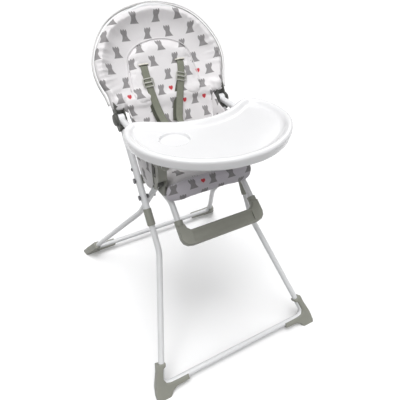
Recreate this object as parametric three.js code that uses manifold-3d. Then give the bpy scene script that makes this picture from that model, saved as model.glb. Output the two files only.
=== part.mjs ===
// Folding baby high chair. Millimetres, +Z up, the chair faces -Y.
// Origin: centre of the bounding box's foot print, on the floor.
import * as THREE from 'three';
import { mergeVertices } from 'three/addons/utils/BufferGeometryUtils.js';
import Module from 'manifold-3d';

const wasm = await Module();
wasm.setup();

// ---------------------------------------------------------------- driving dimensions
const D = Math.PI / 180;
const FRONT_ANGLE = 57.4 * D;      // front frame leans back, measured from the floor
const REAR_ANGLE = 50.6 * D;       // rear frame leans forward
const REAR_LINE_Y = 715.7;         // rear feet line, from the front feet line
const BACK_ANGLE = 61.0 * D;       // backrest, measured from the floor

const FOOT_HALF = 280;             // front feet, half spacing on the floor
const FRONT_BAR_S = 27;            // floor bar height, along the frame
const FRONT_BEND_S = 412;          // splayed lower leg turns parallel
const FRONT_UP_X = 166;            // half spacing of the parallel upper legs
const COLLAR_S0 = 495, COLLAR_S1 = 530;
const FRONT_LOW_R = 9.0, FRONT_UP_R = 10.0, COLLAR_R = 12.2;

const REAR_FOOT_HALF = 294;
const REAR_BEND_S = 446;
const REAR_UP_X = 142;
const REAR_R = 9.0;

const PIVOT_S = 581.5;             // scissor pivot, along the front frame
const SEAT_PIVOT_S = 632.5;        // seat pivot, along the front frame
const HINGE_S = 813;               // armrest hinge, along the front frame
const REAR_END_S = 738;            // rear leg's top pin, along the rear frame

const LEG_FOLD = 64;               // degrees, rear frame folds forward
const SEAT_FOLD = 70;              // degrees, seat folds up at the same time

const TRAY_TOP = 727, TRAY_SKIRT = 27;
const ARM_Z_R = 9.5, ARM_FRONT_Y = 138;
const SHIFT_Y = -358.6;              // front feet line to the origin, set so the box is centred

// ---------------------------------------------------------------- helpers
const V = (x, y, z) => new THREE.Vector3(x, y, z);
const V2 = (x, y) => new THREE.Vector2(x, y);
const fP = (x, s, n = 0) => V(x, s * Math.cos(FRONT_ANGLE) - n * Math.sin(FRONT_ANGLE), s * Math.sin(FRONT_ANGLE) + n * Math.cos(FRONT_ANGLE));
const rP = (x, s) => V(x, REAR_LINE_Y - s * Math.cos(REAR_ANGLE), s * Math.sin(REAR_ANGLE));
const HINGE = fP(0, HINGE_S), SEAT = fP(0, SEAT_PIVOT_S), PIV = fP(0, PIVOT_S), TOP = rP(0, REAR_END_S);
const bP = (x, t, n = 0) => V(x, HINGE.y + t * Math.cos(BACK_ANGLE) - n * Math.sin(BACK_ANGLE), HINGE.z + t * Math.sin(BACK_ANGLE) + n * Math.cos(BACK_ANGLE));

function clean(g) {
  let h = g.index ? g.toNonIndexed() : g.clone();
  for (const k of Object.keys(h.attributes)) if (k !== 'position') h.deleteAttribute(k);
  h = mergeVertices(h, 1e-4);
  const idx = h.index.array, keep = [];
  for (let i = 0; i < idx.length; i += 3) {
    const [a, b, c] = [idx[i], idx[i + 1], idx[i + 2]];
    if (a !== b && b !== c && a !== c) keep.push(a, b, c);
  }
  h.setIndex(keep);
  return h;
}
function solid(g) {
  const h = clean(g);
  return new wasm.Manifold(new wasm.Mesh({ numProp: 3, vertProperties: new Float32Array(h.attributes.position.array), triVerts: new Uint32Array(h.index.array) }));
}
function geo(m) {
  const k = m.getMesh();
  const g = new THREE.BufferGeometry();
  g.setAttribute('position', new THREE.BufferAttribute(new Float32Array(k.vertProperties), 3));
  g.setIndex(new THREE.BufferAttribute(new Uint32Array(k.triVerts), 1));
  return g;
}
const join = (...gs) => { let m = solid(gs[0]); for (const g of gs.slice(1)) m = m.add(solid(g)); return geo(m); };
const cut = (a, ...bs) => { let m = solid(a); for (const b of bs) m = m.subtract(solid(b)); return geo(m); };
const both = (a, b) => geo(solid(a).intersect(solid(b)));

// a path with its own stations: straight runs take one step, bends take several
class Stations extends THREE.Curve {
  constructor(pts, tans) { super(); this.pts = pts; this.tans = tans; }
  getPoint(t, o = new THREE.Vector3()) {
    const n = this.pts.length - 1, f = Math.min(Math.max(t, 0), 1) * n, i = Math.min(Math.floor(f + 1e-9), n - 1);
    return o.copy(this.pts[i]).lerp(this.pts[i + 1], f - i);
  }
  getPointAt(u, o) { return this.getPoint(u, o); }
  getTangentAt(u, o = new THREE.Vector3()) {
    const n = this.pts.length - 1, f = Math.min(Math.max(u, 0), 1) * n, i = Math.min(Math.floor(f + 1e-9), n - 1);
    return o.copy(this.tans[i]).lerp(this.tans[i + 1], f - i).normalize();
  }
}
// corners: [point, bend radius, steps]; the first and last have no radius
function bent(corners) {
  const P = [], T = [];
  const n = corners.length;
  for (let i = 0; i < n; i++) {
    const [p, r = 0, k = 5] = corners[i];
    if (i === 0) { P.push(p.clone()); T.push(corners[1][0].clone().sub(p).normalize()); continue; }
    if (i === n - 1) { P.push(p.clone()); T.push(p.clone().sub(corners[i - 1][0]).normalize()); continue; }
    const a = p.clone().sub(corners[i - 1][0]).normalize(), b = corners[i + 1][0].clone().sub(p).normalize();
    const ang = a.angleTo(b), d = r * Math.tan(ang / 2);
    const s = p.clone().addScaledVector(a, -d);
    const bis = b.clone().sub(a).normalize();
    const c = p.clone().addScaledVector(bis, r / Math.cos(ang / 2));
    const ax = a.clone().cross(b).normalize();
    for (let j = 0; j <= k; j++) {
      const q = new THREE.Quaternion().setFromAxisAngle(ax, ang * j / k);
      P.push(s.clone().sub(c).applyQuaternion(q).add(c));
      T.push(a.clone().applyQuaternion(q));
    }
  }
  return new Stations(P, T);
}
function ring(r, n = 14, ry = r) {
  const s = [];
  for (let i = 0; i < n; i++) { const a = 2 * Math.PI * (i + 0.5) / n; s.push(V2(r * Math.cos(a), ry * Math.sin(a))); }
  return new THREE.Shape(s);
}
const sweep = (shape, path) => clean(new THREE.ExtrudeGeometry(shape, { extrudePath: path, steps: path.pts.length - 1, bevelEnabled: false }));
const tube = (corners, r, n = 14) => sweep(ring(r, n), bent(corners));
// plate in a plane of constant x: outline in (y, z), from x0 to x1
function plateX(outline, x0, x1, holes = []) {
  const sh = new THREE.Shape(outline.map(p => V2(p[0], p[1])));
  for (const h of holes) sh.holes.push(new THREE.Path(h.map(p => V2(p[0], p[1]))));
  const g = new THREE.ExtrudeGeometry(sh, { depth: x1 - x0, bevelEnabled: false, steps: 1 });
  g.applyMatrix4(new THREE.Matrix4().makeBasis(V(0, 1, 0), V(0, 0, 1), V(1, 0, 0)));
  g.translate(x0, 0, 0);
  return clean(g);
}
function rod(a, b, r, n = 14) {
  const g = new THREE.CylinderGeometry(r, r, a.distanceTo(b), n, 1);
  g.applyQuaternion(new THREE.Quaternion().setFromUnitVectors(V(0, 1, 0), b.clone().sub(a).normalize()));
  g.translate((a.x + b.x) / 2, (a.y + b.y) / 2, (a.z + b.z) / 2);
  return clean(g);
}
const rodX = (c, x0, x1, r, n = 14) => rod(V(x0, c.y, c.z), V(x1, c.y, c.z), r, n);
function box(x0, x1, y0, y1, z0, z1) {
  const g = new THREE.BoxGeometry(x1 - x0, y1 - y0, z1 - z0);
  g.translate((x0 + x1) / 2, (y0 + y1) / 2, (z0 + z1) / 2);
  return clean(g);
}
function mirror(g) {
  const h = clean(g), p = h.attributes.position;
  for (let i = 0; i < p.count; i++) p.setX(i, -p.getX(i));
  const t = h.index.array;
  for (let i = 0; i < t.length; i += 3) { const k = t[i + 1]; t[i + 1] = t[i + 2]; t[i + 2] = k; }
  return h;
}
const round = (x0, x1, y0, y1, r, k = 4) => {
  const o = [], q = [[x1 - r, y1 - r, 0], [x0 + r, y1 - r, 90], [x0 + r, y0 + r, 180], [x1 - r, y0 + r, 270]];
  for (const [cx, cy, a] of q) for (let i = 0; i <= k; i++) { const t = (a + 90 * i / k) * D; o.push([cx + r * Math.cos(t), cy + r * Math.sin(t)]); }
  return o;
};
const circle = (cx, cy, r, n = 14) => Array.from({ length: n }, (_, i) => [cx + r * Math.cos(2 * Math.PI * i / n), cy + r * Math.sin(2 * Math.PI * i / n)]);

// ---------------------------------------------------------------- materials
const mat = (hex, rough, metal = 0) => new THREE.MeshStandardMaterial({ color: hex, roughness: rough, metalness: metal });
const WHITE_TUBE = mat(0xe9e9ea, 0.35, 0.1), GREY = mat(0x8b8d82, 0.55), DARK = mat(0x5a5c57, 0.5), TRAY = mat(0xf6f6f8, 0.2);
const CLOTH = mat(0xe6e2e4, 0.9), WEB = mat(0x7d8270, 0.85), STEEL = mat(0x44464a, 0.35, 0.8), PAN = mat(0xb9bab8, 0.6);

const part = new THREE.Group();
const placed = new THREE.Group();
placed.position.set(0, SHIFT_Y, 0);
part.add(placed);
function add(name, g, material) {
  const m = new THREE.Mesh(g, material);
  m.name = name;
  placed.add(m);
  return m;
}
function pair(name, g, material) { add(name + '_right', g, material); add(name + '_left', mirror(g), material); }

// ---------------------------------------------------------------- front frame
const legIn = 97;
const legX = s => FOOT_HALF + (FRONT_UP_X - FOOT_HALF) * (s / FRONT_BEND_S);
add('front_lower_legs', tube([
  [fP(FRONT_UP_X, COLLAR_S1 - 4)], [fP(FRONT_UP_X, FRONT_BEND_S), 120, 5],
  [fP(legX(FRONT_BAR_S), FRONT_BAR_S), 22, 6], [fP(-legX(FRONT_BAR_S), FRONT_BAR_S), 22, 6],
  [fP(-FRONT_UP_X, FRONT_BEND_S), 120, 5], [fP(-FRONT_UP_X, COLLAR_S1 - 4)]], FRONT_LOW_R, 14), WHITE_TUBE);
const STOP_S = 666, TUBE_TOP_S = HINGE_S - 21;
pair('front_upper_tube', cut(rod(fP(FRONT_UP_X, COLLAR_S1 + 0.4), fP(FRONT_UP_X, TUBE_TOP_S), FRONT_UP_R, 16),
  rodX(fP(0, PIVOT_S), 140, 190, 4.15, 12), rodX(fP(0, SEAT_PIVOT_S), 140, 190, 4.55, 12)), WHITE_TUBE);
// domed screw heads on the outer side of the upper tubes, they hold the cloth sides
pair('frame_screw', (() => {
  const one = new THREE.LatheGeometry([V2(0, 0), V2(5.5, 0), V2(5, 1.8), V2(2.6, 3), V2(0, 3.2)], 12);
  one.rotateZ(-Math.PI / 2);
  const c = fP(0, STOP_S);
  one.translate(FRONT_UP_X + FRONT_UP_R + 0.3, c.y, c.z);
  return clean(one);
})(), STEEL);
// collar: a sleeve round the lower leg, closed on top, that the upper tube stands on
pair('leg_collar', cut(
  rod(fP(FRONT_UP_X, COLLAR_S0), fP(FRONT_UP_X, COLLAR_S1 + 16), COLLAR_R, 18),
  rod(fP(FRONT_UP_X, COLLAR_S0 - 1), fP(FRONT_UP_X, COLLAR_S1 - 3.6), FRONT_LOW_R + 0.35, 14),
  rod(fP(FRONT_UP_X, COLLAR_S1), fP(FRONT_UP_X, COLLAR_S1 + 20), FRONT_UP_R + 0.35, 16)), GREY);

// paddle foot: a shell round the bend of leg and floor bar, its sole flat on the floor
function frontFoot() {
  const k = FRONT_ANGLE;
  const o = [[FOOT_HALF - 20, -20], [FOOT_HALF + 15, -20], [FOOT_HALF + 18, 0], [FOOT_HALF + 12, 34], [FOOT_HALF - 3, 74], [FOOT_HALF - 9, 98],
    [FOOT_HALF - 36, 92], [FOOT_HALF - 34, 83], [FOOT_HALF - 25, 79], [FOOT_HALF - 19.5, 60], [FOOT_HALF - 17, 48], [FOOT_HALF - 23, 35], [FOOT_HALF - 34, 31], [FOOT_HALF - 60, 30], [FOOT_HALF - 94, 30], [FOOT_HALF - 94, 14], [FOOT_HALF - 50, 12], [FOOT_HALF - 36, 4]];
  const sh = new THREE.Shape(o.map(p => V2(p[0], p[1])));
  const g = new THREE.ExtrudeGeometry(sh, { depth: 20, bevelEnabled: true, bevelThickness: 4, bevelSize: 4, bevelOffset: -4, bevelSegments: 2, curveSegments: 4 });
  g.translate(0, 0, -10);
  const c = Math.cos(k), s = Math.sin(k);
  g.applyMatrix4(new THREE.Matrix4().makeBasis(V(1, 0, 0), V(0, c, s), V(0, -s, c)));
  return g;
}
const frontBore = tube([
  [fP(legX(150), 150)], [fP(legX(FRONT_BAR_S), FRONT_BAR_S), 22, 6], [fP(0, FRONT_BAR_S)]], FRONT_LOW_R + 0.35, 14);
pair('front_foot', cut(frontFoot(), frontBore, box(0, 600, -200, 200, -80, 0)), GREY);

// scissor pivot, seat pivot and stop bolts on the front frame
const headsAt = (s, x0, x1, r) => rodX(fP(0, s), x0, x1, r, 12);
pair('scissor_spacer', cut(headsAt(PIVOT_S, 151.6, 155.5, 7), headsAt(PIVOT_S, 150, 157, 4.2)), STEEL);

// ---------------------------------------------------------------- hinge housings
const hull2 = (pts, r) => {
  const all = [];
  for (const [y, z] of pts) for (const c of circle(y, z, r, 16)) all.push(c);
  all.sort((a, b) => a[0] - b[0] || a[1] - b[1]);
  const cr = (o, a, b) => (a[0] - o[0]) * (b[1] - o[1]) - (a[1] - o[1]) * (b[0] - o[0]);
  const lo = [], up = [];
  for (const p of all) { while (lo.length > 1 && cr(lo[lo.length - 2], lo[lo.length - 1], p) <= 0.01) lo.pop(); lo.push(p); }
  for (const p of all.reverse()) { while (up.length > 1 && cr(up[up.length - 2], up[up.length - 1], p) <= 0.01) up.pop(); up.push(p); }
  lo.pop(); up.pop();
  return lo.concat(up);
};
function housing() {
  const hy = HINGE.y, hz = HINGE.z;
  const a = fP(0, HINGE_S - 22), b = bP(0, 42);
  let m = solid(plateX(hull2([[a.y, a.z], [hy, hz]], 13), 152, 180)).add(solid(plateX(hull2([[b.y, b.z], [hy, hz]], 13), 152, 180)));
  // space for the armrest's eye and its swing from level to nearly upright
  const swing = [[hy, hz]];
  for (let i = 0; i <= 8; i++) { const t = (180 - 82 * i / 8) * D; swing.push([hy + 90 * Math.cos(t), hz + 90 * Math.sin(t)]); }
  m = m.subtract(solid(rodX(HINGE, 155.9, 176.1, 17.5, 20)));
  m = m.subtract(solid(plateX(hull2(swing, 10.4), 155.9, 176.1)));
  m = m.subtract(solid(rod(fP(FRONT_UP_X, HINGE_S - 80), fP(FRONT_UP_X, TUBE_TOP_S + 0.4), FRONT_UP_R + 0.35, 16)));
  m = m.subtract(solid(rod(bP(FRONT_UP_X, 27.5), bP(FRONT_UP_X, 90), 9.5, 14)));
  m = m.subtract(solid(rodX(HINGE, 140, 190, 5.35, 14)));
  return geo(m);
}
pair('hinge_housing', housing(), DARK);
// hinge pin with a round cap on its outer end
function pin() {
  const g = new THREE.LatheGeometry([V2(0, -32), V2(5, -32), V2(5, 0), V2(18, 0), V2(18, 3), V2(15, 6.5), V2(9, 8), V2(0, 8)], 18);
  g.rotateZ(-Math.PI / 2);
  g.translate(180.4, HINGE.y, HINGE.z);
  return clean(g);
}
pair('hinge_cap', pin(), DARK);

// ---------------------------------------------------------------- backrest
const LOOP = [[176, 32], [183, 64], [192, 100], [194, 132], [192, 165], [181, 197], [163, 228], [136, 258], [97, 284], [52, 299], [0, 304]];
const loopPts = [];
{
  const half = LOOP.map(([x, t]) => [x - 14, t]);
  half[0] = [FRONT_UP_X, 28]; half[1] = [FRONT_UP_X + 1, 60];
  const all = [...half.map(([x, t]) => bP(x, t - (t > 200 ? 8 : 0))), ...half.slice(0, -1).reverse().map(([x, t]) => bP(-x, t - (t > 200 ? 8 : 0)))];
  const c = new THREE.CatmullRomCurve3(all, false, 'centripetal');
  const n = 44;
  const P = c.getSpacedPoints(n), T = P.map((_, i) => c.getTangentAt(i / n));
  loopPts.push(P, T);
}
add('backrest_loop', sweep(ring(8.5, 12), new Stations(loopPts[0], loopPts[1])), WHITE_TUBE);
// the padded cover inside the loop, a plain closed pad
function backPad() {
  const edge = [[143, 6], [146, 62], [168, 100], [170, 132], [168, 160], [157, 190], [139, 218], [114, 244], [80, 264], [40, 276]];
  const o = [...edge, [0, 281], ...edge.slice().reverse().map(([x, t]) => [-x, t])];
  const sh = new THREE.Shape(o.map(p => V2(p[0], p[1])));
  const g = new THREE.ExtrudeGeometry(sh, { depth: 30, bevelEnabled: true, bevelThickness: 6, bevelSize: 8, bevelOffset: -8, bevelSegments: 1 });
  g.translate(0, 0, -38);
  const c = Math.cos(BACK_ANGLE), s = Math.sin(BACK_ANGLE);
  g.applyMatrix4(new THREE.Matrix4().makeBasis(V(1, 0, 0), V(0, c, s), V(0, -s, c)));
  g.translate(0, HINGE.y, HINGE.z);
  return clean(g);
}
add('backrest_pad', backPad(), CLOTH);
add('backrest_insert', (() => {
  const o = [];
  for (let i = 0; i <= 14; i++) { const a = Math.PI * i / 14; o.push([96 * Math.cos(a), 150 + 66 * Math.sin(a)]); }
  o.push([-112, 60], [-104, 12], [104, 12], [112, 60]);
  const sh = new THREE.Shape(o.map(p => V2(p[0], p[1])));
  const g = new THREE.ExtrudeGeometry(sh, { depth: 8, bevelEnabled: false });
  g.translate(0, 0, 0.6 - 2);
  const c = Math.cos(BACK_ANGLE), s = Math.sin(BACK_ANGLE);
  g.applyMatrix4(new THREE.Matrix4().makeBasis(V(1, 0, 0), V(0, c, s), V(0, -s, c)));
  g.translate(0, HINGE.y, HINGE.z);
  return clean(g);
})(), CLOTH);

// ---------------------------------------------------------------- rear frame
const rearX = s => REAR_FOOT_HALF + (REAR_UP_X - REAR_FOOT_HALF) * (s / REAR_BEND_S);
const REAR_BAR_S = 40;
add('rear_legs', cut(tube([
  [rP(REAR_UP_X, REAR_END_S - 14)], [rP(REAR_UP_X, REAR_BEND_S), 120, 5],
  [rP(rearX(REAR_BAR_S), REAR_BAR_S), 22, 6], [rP(-rearX(REAR_BAR_S), REAR_BAR_S), 22, 6],
  [rP(-REAR_UP_X, REAR_BEND_S), 120, 5], [rP(-REAR_UP_X, REAR_END_S - 14)]], REAR_R, 14),
  rodX(PIV, -170, -120, 4.25, 12), rodX(PIV, 120, 170, 4.25, 12)), WHITE_TUBE);
function rearFoot() {
  const F = REAR_FOOT_HALF;
  const o = [[F - 18, -24], [F + 14, -24], [F + 20, -4], [F + 8, 36], [F - 12, 80], [F - 17, 98], [F - 38, 93], [F - 31, 76], [F - 24, 60], [F - 28, 50], [F - 42, 44], [F - 60, 43], [F - 108, 43], [F - 108, 28], [F - 44, 20]];
  const sh = new THREE.Shape(o.map(p => V2(p[0], p[1])));
  const g = new THREE.ExtrudeGeometry(sh, { depth: 20, bevelEnabled: true, bevelThickness: 4, bevelSize: 4, bevelOffset: -4, bevelSegments: 2 });
  g.translate(0, 0, -10);
  const c = Math.cos(REAR_ANGLE), s = Math.sin(REAR_ANGLE);
  g.applyMatrix4(new THREE.Matrix4().makeBasis(V(1, 0, 0), V(0, -c, s), V(0, -s, -c)));
  g.translate(0, REAR_LINE_Y, 0);
  return g;
}
const rearBore = tube([
  [rP(rearX(170), 170)], [rP(rearX(REAR_BAR_S), REAR_BAR_S), 22, 6], [rP(0, REAR_BAR_S)]], REAR_R + 0.35, 14);
pair('rear_foot', cut(rearFoot(), rearBore, box(0, 600, 500, 1000, -80, 0)), GREY);
// leg end: a plug with the pin that runs in the seat bracket's slots
pair('rear_leg_end', join(
  rodX(TOP, 133.4, 150.8, 12.5, 20), rodX(TOP, 130.6, 154.9, 3.0, 12),
  rod(rP(REAR_UP_X, REAR_END_S - 13.6), rP(REAR_UP_X, REAR_END_S - 2), 8.6, 14)), DARK);
// the pivot bolt passes through both frames
pair('scissor_bolt', join(rodX(PIV, 130, 178.5, 3.8, 12), rodX(PIV, 176.6, 181, 7.5, 14), rodX(PIV, 129.6, 132.6, 6.5, 12)), STEEL);

// ---------------------------------------------------------------- seat brackets
// path of the rear leg's pin in the seat's own frame as the chair folds
const rel = V(0, TOP.y - PIV.y, TOP.z - PIV.z);
const pinPath = [];
for (let i = 0; i <= 10; i++) {
  const th = -LEG_FOLD * i / 10 * D, ph = SEAT_FOLD * i / 10 * D;
  const b = rel.clone().applyAxisAngle(V(1, 0, 0), th).add(PIV);
  const q = b.sub(SEAT).applyAxisAngle(V(1, 0, 0), ph).add(SEAT);
  pinPath.push([q.y, q.z]);
}
const slotSolids = (x0, x1, r) => {
  const P = pinPath.map(([y, z]) => [y, z]);
  const L = [], Rr = [];
  for (let i = 0; i < P.length; i++) {
    const a = P[Math.max(0, i - 1)], b = P[Math.min(P.length - 1, i + 1)];
    const dx = b[0] - a[0], dz = b[1] - a[1], l = Math.hypot(dx, dz);
    L.push([P[i][0] - dz / l * r, P[i][1] + dx / l * r]); Rr.push([P[i][0] + dz / l * r, P[i][1] - dx / l * r]);
  }
  return [plateX([...L, ...Rr.reverse()].reverse(), x0, x1), rodX(V(0, ...P[0]), x0, x1, r, 14), rodX(V(0, ...P[P.length - 1]), x0, x1, r, 14)];
};
function bracket() {
  const [sy, sz] = [SEAT.y, SEAT.z], [ty, tz] = [TOP.y, TOP.z];
  const outer = [
    [sy + 12, sz - 4], [sy + 13, sz + 4], [sy + 8, sz + 12], [sy - 2, sz + 16], [322, 566], [300, 588], [280, 612], [262, 645], [214, 645], [214, 600],
    [226, 582], [229.5, 566], [236, 557], [247, 553], [258, 555], [280, 545], [305, 538], [sy - 14, sz - 6], [sy - 8, sz - 12], [sy + 2, sz - 13]];
  const inner = [[330, 545], [322, 566], [296, 590], [240, 600], [214, 600], [214, 590], [229, 560], [238, 530], [250, 524], [300, 524]];
  let m = solid(plateX(outer, 152.2, 155.1)).add(solid(plateX(inner, 130.2, 132.4)));
  m = m.add(solid(plateX([[214, 596], [218, 590], [222, 590], [219.5, 600], [219.5, 645], [214, 645]], 130.2, 155.1)));
  for (const g of slotSolids(125, 160, 4.0)) m = m.subtract(solid(g));
  m = m.subtract(solid(rodX(SEAT, 140, 160, 4.6, 14)));
  // recess for the lock lever
  m = m.subtract(solid(plateX(round(232, 252, 594, 632, 7), 150, 160)));
  return geo(m);
}
pair('seat_bracket', bracket(), GREY);
pair('seat_pivot_bolt', join(rodX(SEAT, 151.4, 178.6, 4.2, 12), rodX(SEAT, 176.6, 181.5, 8, 14)), STEEL);
// lock lever in the recess, on its own little pivot
function lever() {
  const o = [[235.5, 600], [242, 597.5], [248, 602], [248, 624], [244, 628.5], [240, 624], [240.5, 609], [235.5, 606]];
  return join(plateX(o, 149.0, 155.5), rodX(V(0, 244, 622), 146.6, 151.0, 3, 10));
}
pair('lock_lever', lever(), DARK);

// ---------------------------------------------------------------- seat
const TUBE_X = 119, SF_R = 8.5, SEAT_TUBE_Z = 514;
const TUBE_END_Y = 168.5, TUBE_END_Z = 467.4;  // lower end of the two footrest tubes
add('seat_frame', tube([
  [V(TUBE_X + 2, TUBE_END_Y, TUBE_END_Z)], [V(TUBE_X, 222, SEAT_TUBE_Z), 40, 4], [V(TUBE_X, 388, SEAT_TUBE_Z), 30, 5],
  [V(-TUBE_X, 388, SEAT_TUBE_Z), 30, 5], [V(-TUBE_X, 222, SEAT_TUBE_Z), 40, 4], [V(-TUBE_X - 2, TUBE_END_Y, TUBE_END_Z)]], SF_R, 14), WHITE_TUBE);
add('seat_pan', cut(box(-104, 104, 226, 370, 525.5, 529.5), box(-17, 17, 249, 263, 500, 600)), PAN);
// side rails hold the brackets and the pan to the seat tube
pair('seat_side_rail', join(box(104.4, 129.9, 246, 350, 523.0, 525.6), box(127.9, 129.9, 246, 326, 523.0, 552), box(104.4, 107, 246, 350, 523.0, 529.4)), PAN);

// seat pad: cushion with a rolled front edge
function seatPad() {
  const prof = [[213, 548], [216, 530.5], [226, 530.4], [374, 530.4], [386, 545], [386, 566], [372, 570], [300, 572], [232, 586], [218, 580], [213, 566]];
  return plateX(prof, -120, 120);
}
add('seat_pad', cut(seatPad(), box(-16, 16, 250, 262, 500, 600)), CLOTH);
// front apron: the roll of cloth that hangs over the seat's front edge
add('seat_apron', (() => {
  const g = plateX([[200, 545], [203, 522], [211, 515], [212.4, 530], [212.4, 584], [207, 582], [201, 568]], -126, 126);
  return g;
})(), CLOTH);
// cloth side wings between seat and armrest
pair('side_wing', plateX([[252, 566], [262, 550], [290, 540], [324, 543], [344, 554], [360, 578], [384, 620], [398, 652], [398, 671], [300, 671], [266, 667], [252, 652]], 155.4, 155.7), CLOTH);

// ---------------------------------------------------------------- footrest
function footrest() {
  const a = 40 * D;
  const out = [[-134, -50], [-130, -63], [-120, -72], [-104, -76], [104, -76], [120, -72], [130, -63], [134, -50], [132.5, -13], [109.5, -13], [107, -24], [98, -33], [-98, -33], [-107, -24], [-109.5, -13], [-132.5, -13]];
  const sh = new THREE.Shape(out.map(p => V2(p[0], p[1])));
  const g = new THREE.ExtrudeGeometry(sh, { depth: 14, bevelEnabled: true, bevelThickness: 4, bevelSize: 3, bevelOffset: -3, bevelSegments: 1 });
  g.translate(0, 0, -7);
  const ry = 172, rz = 474;
  const d = V(0, Math.cos(a), Math.sin(a)), w = V(0, -Math.sin(a), Math.cos(a));
  g.applyMatrix4(new THREE.Matrix4().makeBasis(V(1, 0, 0), d, w));
  g.translate(0, ry + 4, rz + 4);
  // shallow trough along the tread
  const t = new THREE.CylinderGeometry(26, 26, 196, 20, 1);
  t.rotateZ(Math.PI / 2);
  const c = V(0, ry + 4, rz + 4).addScaledVector(d, -54.5).addScaledVector(w, 31);
  t.translate(c.x, c.y, c.z);
  let m = solid(g).subtract(solid(clean(t)));
  // sockets for the two tubes
  for (const s of [1, -1]) {
    const e = V(s * (TUBE_X + 2), TUBE_END_Y, TUBE_END_Z), dir = e.clone().sub(V(s * TUBE_X, 222, SEAT_TUBE_Z)).normalize();
    m = m.add(solid(rod(e.clone().addScaledVector(dir, -14), e.clone().addScaledVector(dir, 15), 12.4, 18)));
  }
  for (const s of [1, -1]) {
    const e = V(s * (TUBE_X + 2), TUBE_END_Y, TUBE_END_Z), dir = e.clone().sub(V(s * TUBE_X, 222, SEAT_TUBE_Z)).normalize();
    m = m.subtract(solid(rod(e.clone().addScaledVector(dir, -40), e.clone().addScaledVector(dir, 0.5), SF_R + 0.35, 16)));
  }
  return geo(m);
}
add('footrest', footrest(), GREY);

// ---------------------------------------------------------------- harness
const strapAt = (x0, t0, x1, t1, n0, n1, w, th) => {
  const a = bP(x0, t0, n0), b = bP(x1, t1, n1);
  const L = a.distanceTo(b), g = new THREE.BoxGeometry(w, th, L);
  const z = b.clone().sub(a).normalize(), x = V(1, 0, 0).addScaledVector(z, -z.x).normalize(), y = z.clone().cross(x);
  g.applyMatrix4(new THREE.Matrix4().makeBasis(x, y, z));
  g.translate((a.x + b.x) / 2, (a.y + b.y) / 2, (a.z + b.z) / 2);
  return clean(g);
};
pair('shoulder_strap', strapAt(60, 122, 24, -30, 12, 44, 26, 1.6), WEB);
pair('strap_slider', (() => {
  const a = bP(53, 92, 22.4), g = box(-17, 17, -2, 2, -14, 14), w = box(-13.6, 13.6, -5, 5, -10, -1.5), w2 = box(-13.6, 13.6, -5, 5, 1.5, 10);
  const s = cut(g, w, w2);
  s.applyMatrix4(new THREE.Matrix4().makeRotationX(-41 * D));
  s.translate(a.x, a.y, a.z);
  return s;
})(), GREY);
add('crotch_strap', box(-13, 13, 254.6, 257.2, 531, 598), WEB);
add('buckle', cut(plateX([[246, 598.6], [264, 598.6], [268, 612], [266, 634], [262, 640], [248, 640], [244, 634], [242, 612]], -21, 21),
  box(-9.4, 9.4, 238, 250.5, 606.6, 625.4), box(-6.3, 6.3, 238, 258, 609.6, 622.4)), GREY);
add('buckle_button', join(box(-9, 9, 241.2, 246.0, 607, 625), box(-6, 6, 245, 253, 610, 622)), DARK);
pair('waist_strap', (() => {
  const a = V(22.6, 256, 606), b = V(116, 330, 588);
  const L = a.distanceTo(b), g = new THREE.BoxGeometry(L, 1.6, 24);
  const x = b.clone().sub(a).normalize(), z0 = V(0, 0, 1), y = z0.clone().cross(x).normalize(), z = x.clone().cross(y);
  g.applyMatrix4(new THREE.Matrix4().makeBasis(x, y, z));
  g.translate((a.x + b.x) / 2, (a.y + b.y) / 2, (a.z + b.z) / 2);
  return clean(g);
})(), WEB);

// ---------------------------------------------------------------- armrests
function armrest() {
  const eye = rodX(HINGE, 157.2, 174.8, 14.5, 20);
  const t = rod(V(FRONT_UP_X, HINGE.y - 8, HINGE.z), V(FRONT_UP_X, ARM_FRONT_Y, HINGE.z), ARM_Z_R, 16);
  const flat = both(join(eye, t), box(150, 182, 0, 600, 600, 800));
  return cut(flat, rodX(HINGE, 140, 190, 5.3, 14), box(140, 157.2, HINGE.y - 40, HINGE.y + 40, 600, 800), box(174.8, 190, HINGE.y - 40, HINGE.y + 40, 600, 800));
}
pair('armrest_tube', armrest(), WHITE_TUBE);
pair('armrest_plug', (() => {
  const g = new THREE.LatheGeometry([V2(0, 0), V2(9.5, 0), V2(9.5, 5), V2(6.5, 9), V2(0, 10)], 16);
  g.rotateX(Math.PI);
  g.translate(FRONT_UP_X, ARM_FRONT_Y - 0.4, HINGE.z);
  return clean(g);
})(), GREY);

// ---------------------------------------------------------------- tray
const TRAY_EDGE = [[0, 25], [40, 27], [96, 45], [143, 73], [181, 110], [210, 158], [221, 210], [219, 258], [203, 296], [180, 316], [160, 314], [135, 301], [105, 281], [70, 264], [30, 254]];
const trayHalf = TRAY_EDGE;
const trayOutline = [...trayHalf, [0, 252], ...trayHalf.slice(1).reverse().map(([x, y]) => [-x, y])];
function smooth(o, n) {
  const c = new THREE.CatmullRomCurve3(o.map(p => V(p[0], p[1], 0)), true, 'centripetal');
  return c.getSpacedPoints(n).slice(0, n).map(p => [p.x, p.y]);
}
function inset(o, d) {
  const n = o.length, r = [];
  for (let i = 0; i < n; i++) {
    const a = o[(i + n - 1) % n], b = o[(i + 1) % n];
    const dx = b[0] - a[0], dy = b[1] - a[1], l = Math.hypot(dx, dy);
    r.push([o[i][0] - dy / l * d, o[i][1] + dx / l * d]);
  }
  return r;
}
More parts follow.
